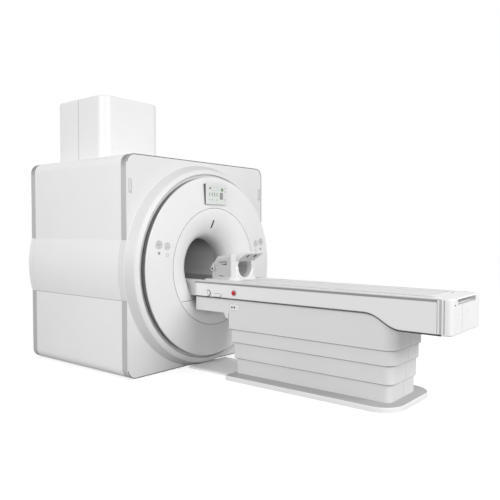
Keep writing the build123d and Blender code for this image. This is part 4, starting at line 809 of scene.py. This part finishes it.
# The last seam starts just above the base plate
seam_lowest = highest["base_plate"].z + SKIRT_SEAM_GAP
for stage, body in enumerate(SKIRT_BODIES):
    seam_y = FACE_Y - SKIRT_FAR + SKIRT_STEP * stage + SKIRT_SEAM_PROUD
    seam_foot = max(skirt_feet[stage], seam_lowest)
    seam_path = straight((0, seam_y, seam_foot), (0, seam_y, seam_heads[stage]), SKIRT_SEAM_SPANS)
    add_piece(f"skirt_seam_{stage + 1}", bead(seam_path, SKIRT_SEAM_RADIUS), mark_and_shade_grey, body)

# End cap: seam, small marks, and a grey plate on the grip's floor as painted shade. Places are from the
# middle of the cap's upper edge

CAP_DEPTH = FACE_Y - lowest["end_cap"].y
CAP_TOP = highest["end_cap"].z
GRIP_DROP = 0.031
GRIP_DEPTH = 0.0458
GRIP_SHADE_PROUD = 0.0012
GRIP_SHADE_BEVEL = 0.0006
CAP_MARK_HEIGHT = 0.004
CAP_MARK_CORNER = 0.0015
cap_seam = rounded(0.0030, 0.214, 0.001, x=-0.108, y=-0.162)
cap_latch = rounded(0.030, 0.008, 0.003, x=-0.262, y=-0.050)
cap_marks = ((-0.20, -0.123, 0.06), (0.02, -0.113, 0.10), (0.02, -0.133, 0.07))
grip_shade_plate = rounded(0.400, 0.034, 0.015)

cap_front = front(0, CAP_TOP, CAP_DEPTH)
add_piece("cap_seam", slab(cap_seam, cap_front, THIN), mark_and_shade_grey, "table")
add_piece("cap_latch", slab(cap_latch, cap_front, THIN), seal_and_shade, "table")
for k, (x, rise, width) in enumerate(cap_marks):
    outline = rounded(width, CAP_MARK_HEIGHT, CAP_MARK_CORNER, x, rise)
    add_piece(f"cap_mark_{k + 1}", slab(outline, cap_front, THIN), keycap, "table")
grip_place = front(0, CAP_TOP - GRIP_DROP, CAP_DEPTH - GRIP_DEPTH)
add_piece("grip_shade_plate", slab(grip_shade_plate, grip_place, GRIP_SHADE_PROUD, GRIP_SHADE_BEVEL), mark_and_shade_grey, "table")

# Painted highlights: bright strips on the trim's ends, with a grey strip at the far edge; and the line
# round the cap's side

TRIM_SIDE = highest["trim_right"].x
TRIM_TOP = highest["trim_right"].z
TRIM_NEAR = FACE_Y - highest["trim_right"].y
TRIM_FAR = FACE_Y - lowest["trim_right"].y
CAP_SIDE = highest["end_cap"].x
END_STRIP_CORNER = 0.004
END_STRIP_PROUD = 0.0006
END_STRIP_BEVEL = 0.0003
FAR_HEIGHT = 0.262
FAR_DROP = 0.140
CAP_LINE_WIDTH = 0.0070
CAP_LINE_CORNER = 0.003
CAP_LINE_PROUD = 0.0004
CAP_LINE_OFFSET = 0.022
trim_end_strips = (
    ("near", TRIM_NEAR + 0.0064, 0.0100, 0.093, 0.128, fairing),
    ("far", TRIM_FAR - 0.0225, 0.0130, FAR_DROP, FAR_HEIGHT, mouth),
    ("far_edge", TRIM_FAR - 0.0078, 0.0150, FAR_DROP, FAR_HEIGHT, band),
)

for side, name in SIDES:
    for label, distance, width, drop, height, material in trim_end_strips:
        place = flank(side * TRIM_SIDE, distance, TRIM_TOP - drop)
        add_piece(f"trim_end_strip_{label}_{name}",
                  slab(rounded(width, height, END_STRIP_CORNER), place, END_STRIP_PROUD, END_STRIP_BEVEL),
                  material, "table")
    line_place = flank(side * CAP_SIDE, TRIM_FAR + CAP_LINE_OFFSET, TRIM_TOP - FAR_DROP)
    add_piece(f"cap_line_{name}",
              slab(rounded(CAP_LINE_WIDTH, FAR_HEIGHT, CAP_LINE_CORNER), line_place, CAP_LINE_PROUD),
              mark_and_shade_grey, "table")

# Painted shadow: dark plates round the knob and the latch; the stop button's collar, grey as its painted
# shadow; and the two sockets

KNOB_SHADOW_RADIUS = 0.0360
KNOB_STEM_RADIUS = 0.0110
SHADOW_PLATE_BEVEL = 0.0003
LATCH_SHADOW_PROUD = 0.0003
SOCKET_FRAME_BELOW = 0.0028
SOCKET_SHIFTS = (-0.0325, -0.0015)
SOCKET_DROP = 0.002
latch_shadow_plate = rounded(0.099, 0.037, 0.0184, x=0.0315)
socket_frame, socket_opening = framed(0.128, 0.065, 0.0145, 0.00175, 0.0015)
stop_shadow_collar = ((0.0300, 0.0), (0.0300, 0.003), (0.0285, 0.0048), (0.0245, 0.0052), (0.0235, 0.0045),
               (0.0235, 0.0))
socket_ring = ((0.0100, -0.001), (0.0100, 0.0006), (0.0092, 0.0014), (0.0080, 0.0014), (0.0075, 0.0008),
               (0.0075, -0.0012))
socket_face = ((0.0, 0.0003), (0.0050, 0.0003), (0.0076, -0.0002), (0.0076, -0.001))
socket_core = ((0.0, -0.0008), (0.0020, -0.0008), (0.0024, -0.0018), (0.0079, -0.0018), (0.0079, -0.0028))

add_piece("knob_shadow_plate",
          slab(circle(KNOB_SHADOW_RADIUS), flank_at(hinge["knob_turn"]), PROUD, SHADOW_PLATE_BEVEL,
               circle(KNOB_STEM_RADIUS)),
          seal_and_shade, "table")
add_piece("latch_shadow_plate",
          slab(latch_shadow_plate, flank_at(hinge["latch_swing"]), LATCH_SHADOW_PROUD, BEVEL),
          seal_and_shade, "table")
stop_middle = middle("stop_button")
stop_place = flank_at((lowest["fairing_left"].x, stop_middle.y, stop_middle.z))
# Collar round the stop button, grey as a painted shadow of the button
add_piece("stop_shadow_collar", turned(stop_shadow_collar, stop_place), coil_panel, "table")
socket_middle = middle("socket_panel")
socket_x = lowest["socket_panel"].x
add_piece("socket_frame",
          slab(socket_frame, flank_at((socket_x, socket_middle.y, socket_middle.z)), THIN, SLIGHT,
               socket_opening, below=SOCKET_FRAME_BELOW),
          mark_and_shade_grey, "table")
for k, shift in enumerate(SOCKET_SHIFTS):
    place = flank_at((socket_x, socket_middle.y - shift, socket_middle.z - SOCKET_DROP))
    add_piece(f"socket_ring_{k + 1}", turned(socket_ring, place), rubber, "table")
    add_piece(f"socket_face_{k + 1}", turned(socket_face, place), lens, "table")
    add_piece(f"socket_core_{k + 1}", turned(socket_core, place), lens, "table")

# Head coil: side panels with their slots and rivets, the seam and the pivots' caps

COIL_SIDE = highest["coil_visor"].x
HINGE_Y = hinge["coil_lid_hinge"][1]
HINGE_Z = hinge["coil_lid_hinge"][2]
PANEL_PROUD = 0.0016
PANEL_BEVEL = 0.0008
SLOT_PROUD = 0.0022
SILL_PROUD = 0.0028

# Corners of the plates from the lid's hinge: (distance towards the table's far end, height)
base_panel = ((0.001, 0.022), (0.001, -0.077), (0.011, -0.090), (0.215, -0.090), (0.227, -0.078),
              (0.227, 0.022))
top_panel = ((0.025, 0.042), (0.047, 0.088), (0.059, 0.096), (0.227, 0.125), (0.227, 0.042))
top_slot = ((0.076, 0.072), (0.169, 0.081), (0.177, 0.077), (0.179, 0.045), (0.173, 0.040), (0.107, 0.047))
top_sill = ((0.087, 0.064), (0.165, 0.071), (0.167, 0.057), (0.109, 0.051))
base_slot = ((0.079, -0.069), (0.103, -0.066), (0.173, -0.083), (0.171, -0.088), (0.105, -0.076),
             (0.081, -0.075))
coil_plates = (
    ("base_panel", base_panel, coil_panel, "cradle_slide_body", "coil_grey", PANEL_PROUD, PANEL_BEVEL),
    ("top_panel", top_panel, coil_panel, "coil_lid", "coil_grey", PANEL_PROUD, PANEL_BEVEL),
    ("top_slot", top_slot, seal_and_shade, "coil_lid", "trim_dark", SLOT_PROUD, 0.0),
    ("top_slot_sill", top_sill, coil_panel, "coil_lid", "coil_grey", SILL_PROUD, 0.0),
    ("base_slot", base_slot, seal_and_shade, "cradle_slide_body", "trim_dark", SLOT_PROUD, 0.0),
)

# Rivets in rows: how many, the lowest one's height from the hinge, and the body they ride on
RIVET_STEPS = 12
RIVET_DISTANCE = 0.236
RIVET_PITCH = 0.0205
rivet = ((0.0, 0.0016), (0.0022, 0.0012), (0.0034, 0.0002), (0.0034, -0.001))
rivet_rows = (("rivet", 7, -0.100, "cradle_slide_body"), ("lid_rivet", 3, 0.046, "coil_lid"))

COIL_SEAM_RADIUS = 0.0013
COIL_SEAM_NEAR = 0.017
COIL_SEAM_FAR = 0.233
COIL_SEAM_RISE = 0.0325
COIL_SEAM_SPANS = 10
PIVOT_X = 0.1723
PIVOT_CORE_PROUD = 0.0030
PIVOT_CORE_BEVEL = 0.0005
PIVOT_CORE_BELOW = 0.0005
pivot_ring = ((0.0262, -0.001), (0.0262, 0.0004), (0.0235, 0.0022), (0.0125, 0.0026), (0.0112, 0.0016),
              (0.0112, -0.001))
pivot_core = rounded(0.0215, 0.0215, 0.004)


def coil_flank(side, distance=0.0, rise=0.0):
    """Frame on a flank of the head coil, at a place from the lid's hinge."""
    return flank_at((side * COIL_SIDE, HINGE_Y - distance, HINGE_Z + rise))


for side, name in SIDES:
    for label, corners, material, body, slot, above, bevel in coil_plates:
        outline = [(-side * distance, rise) for distance, rise in corners]
        add_piece(f"coil_{label}_{name}", slab(outline, coil_flank(side), above, bevel),
                  material, body)
    for label, count, foot, body in rivet_rows:
        for k in range(count):
            place = coil_flank(side, RIVET_DISTANCE, foot + RIVET_PITCH * k)
            add_piece(f"coil_{label}_{k + 1}_{name}", turned(rivet, place, RIVET_STEPS),
                      seal_and_shade, body)
    coil_seam = straight((side * COIL_SIDE, HINGE_Y - COIL_SEAM_NEAR, HINGE_Z + COIL_SEAM_RISE),
                         (side * COIL_SIDE, HINGE_Y - COIL_SEAM_FAR, HINGE_Z + COIL_SEAM_RISE),
                         COIL_SEAM_SPANS)
    add_piece(f"coil_seam_{name}", bead(coil_seam, COIL_SEAM_RADIUS),
              seal_and_shade, "cradle_slide_body")
    pivot = flank_at((side * PIVOT_X, HINGE_Y, HINGE_Z))
    add_piece(f"coil_pivot_ring_{name}", turned(pivot_ring, pivot),
              coil_shell, "cradle_slide_body")
    add_piece(f"coil_pivot_core_{name}",
              slab(pivot_core, pivot, PIVOT_CORE_PROUD, PIVOT_CORE_BEVEL, below=PIVOT_CORE_BELOW),
              lens, "cradle_slide_body")

# White lip round the lower half of the coil's mouth, kept off the cradle

COIL_MOUTH_Z = HINGE_Z + 0.024
COIL_FRONT = lowest["coil_base"].y
LIP_FOOT = lowest["coil_base"].z + 0.004
LIP_START = 176
LIP_SWEEP = 188
LIP_STEPS = 36
LIP_SHALLOWEST = 0.2
LIP_OUTER = 0.1300
lip_section = ((0.1115, -0.004), (0.1115, 0.006), (0.1135, 0.011), (0.1200, 0.014), (0.1290, 0.011),
               (0.1330, 0.004), (0.1330, -0.004))


def mouth_lip():
    """Bmesh of the lip: its section is (radius, distance before the front), cut flat above the cradle."""
    mesh = bmesh.new()
    rows = []
    for k in range(LIP_STEPS + 1):
        angle = math.radians(LIP_START + LIP_SWEEP * k / LIP_STEPS)
        room = (COIL_MOUTH_Z - LIP_FOOT) / max(-math.sin(angle), LIP_SHALLOWEST)
        row = []
        for radius, distance in lip_section:
            reach = min(radius, room) if radius > LIP_OUTER else radius
            row.append(mesh.verts.new((reach * math.cos(angle), COIL_FRONT - distance,
                                       COIL_MOUTH_Z + reach * math.sin(angle))))
        rows.append(row)
    for lower, upper in zip(rows, rows[1:]):
        join_rings(mesh, lower, upper)
    mesh.faces.new(rows[0])
    mesh.faces.new(rows[-1])
    return mesh


add_piece("coil_mouth_lip", mouth_lip(), mouth, "cradle_slide_body")

# Painted shade: a grey plate under the visor, and the windows under it

VISOR_ROOT = 0.6092
VISOR_SLOPE = math.atan2(0.088, 0.128)
SHADE_PLATE_PROUD = 0.0014
SHADE_PLATE_BEVEL = 0.0007
WINDOW_RISE = 0.100
WINDOW_LEVEL = 0.0012
WINDOW_PROUD = 0.0016
WINDOW_BEVEL = 0.0006
WINDOW_BELOW = 0.002
visor_shade_plate = rounded(0.272, 0.128, 0.018, y=0.072)
visor_window = rounded(0.030, 0.046, 0.010)

visor_place = facing((0, FACE_Y - VISOR_ROOT, lowest["coil_visor"].z), (1, 0, 0),
                     (0, -math.sin(VISOR_SLOPE), -math.cos(VISOR_SLOPE)))
add_piece("visor_shade_plate", slab(visor_shade_plate, visor_place, SHADE_PLATE_PROUD, SHADE_PLATE_BEVEL),
          bridge, "coil_lid")
for k, x in enumerate((-0.059, 0.059)):
    place = visor_place @ Matrix.Translation((x, WINDOW_RISE, WINDOW_LEVEL))
    add_piece(f"visor_window_{k + 1}",
              slab(visor_window, place, WINDOW_PROUD, WINDOW_BEVEL, below=WINDOW_BELOW),
              lens, "coil_lid")


# Camera, floor and light

CAMERA_LENS = 41.90
CAMERA_SENSOR = 36.0
CAMERA_RANGE = 60.0
CAMERA_PLACE = (-4.6486, -3.8417, 1.4804)
CAMERA_DIP = 2.11
CAMERA_TURN = -50.97

camera_data = bpy.data.cameras.new("camera")
camera_data.lens = CAMERA_LENS
camera_data.sensor_width = CAMERA_SENSOR
camera_data.clip_end = CAMERA_RANGE
camera = bpy.data.objects.new("camera", camera_data)
camera.location = CAMERA_PLACE
camera.rotation_euler = (math.radians(90 - CAMERA_DIP), 0.0, math.radians(CAMERA_TURN))
scene.collection.objects.link(camera)
scene.camera = camera

FLOOR_HALF = 30
FLOOR_TONE = 185
FLOOR_ROUGH = 0.8
FLOOR_SHINE = 0.2
FLOOR_GLOW = 0.7
WHITE = (1, 1, 1, 1)


def pale_floor():
    """Material of the floor: matt, and lifted towards white where the camera sees it."""
    material = bpy.data.materials.new("floor")
    material.use_nodes = True
    tree = material.node_tree
    shader = tree.nodes["Principled BSDF"]
    shader.inputs["Base Color"].default_value = linear(FLOOR_TONE)
    shader.inputs["Roughness"].default_value = FLOOR_ROUGH
    shader.inputs["Specular IOR Level"].default_value = FLOOR_SHINE
    shader.inputs["Emission Color"].default_value = WHITE
    path = tree.nodes.new("ShaderNodeLightPath")
    lift = tree.nodes.new("ShaderNodeMath")
    lift.operation = "MULTIPLY"
    lift.inputs[1].default_value = FLOOR_GLOW
    tree.links.new(path.outputs["Is Camera Ray"], lift.inputs[0])
    tree.links.new(lift.outputs["Value"], shader.inputs["Emission Strength"])
    return material


floor_corners = [(sx * FLOOR_HALF, sy * FLOOR_HALF, 0) for sx, sy in ((-1, -1), (1, -1), (1, 1), (-1, 1))]
floor_mesh = bpy.data.meshes.new("floor")
floor_mesh.from_pydata(floor_corners, [], [(0, 1, 2, 3)])
floor_mesh.materials.append(pale_floor())
floor = bpy.data.objects.new("floor", floor_mesh)
scene.collection.objects.link(floor)

# White surroundings: half as strong for the light they cast as for what the camera and gloss see

CAST_STRENGTH = 0.5
SEEN_STRENGTH = 1.0

world = bpy.data.worlds.new("studio")
scene.world = world
world.use_nodes = True
sky = world.node_tree
background = sky.nodes["Background"]
background.inputs["Color"].default_value = WHITE
paths = sky.nodes.new("ShaderNodeLightPath")
glossy = sky.nodes.new("ShaderNodeMath")
glossy.operation = "MAXIMUM"
through = sky.nodes.new("ShaderNodeMath")
through.operation = "MAXIMUM"
strength = sky.nodes.new("ShaderNodeMapRange")
strength.inputs["To Min"].default_value = CAST_STRENGTH
strength.inputs["To Max"].default_value = SEEN_STRENGTH
sky.links.new(paths.outputs["Is Camera Ray"], glossy.inputs[0])
sky.links.new(paths.outputs["Is Glossy Ray"], glossy.inputs[1])
sky.links.new(glossy.outputs["Value"], through.inputs[0])
sky.links.new(paths.outputs["Is Transmission Ray"], through.inputs[1])
sky.links.new(through.outputs["Value"], strength.inputs["Value"])
sky.links.new(strength.outputs["Result"], background.inputs["Strength"])


def lamp(name, place, target, size, power):
    """Large soft lamp aimed at a point: size in metres, power in watts."""
    data = bpy.data.lights.new(name, "AREA")
    data.shape = "DISK"
    data.size = size
    data.energy = power
    light = bpy.data.objects.new(name, data)
    light.location = place
    direction = Vector(target) - Vector(place)
    light.rotation_euler = direction.to_track_quat("-Z", "Y").to_euler()
    scene.collection.objects.link(light)


lamp("front", place=(1.0, -9.0, 4.5), target=(0, 0, 1.0), size=4.0, power=400)
lamp("left", place=(-9.0, -1.0, 4.0), target=(0, 0.5, 1.2), size=4.0, power=320)

scene.view_settings.view_transform = "Standard"
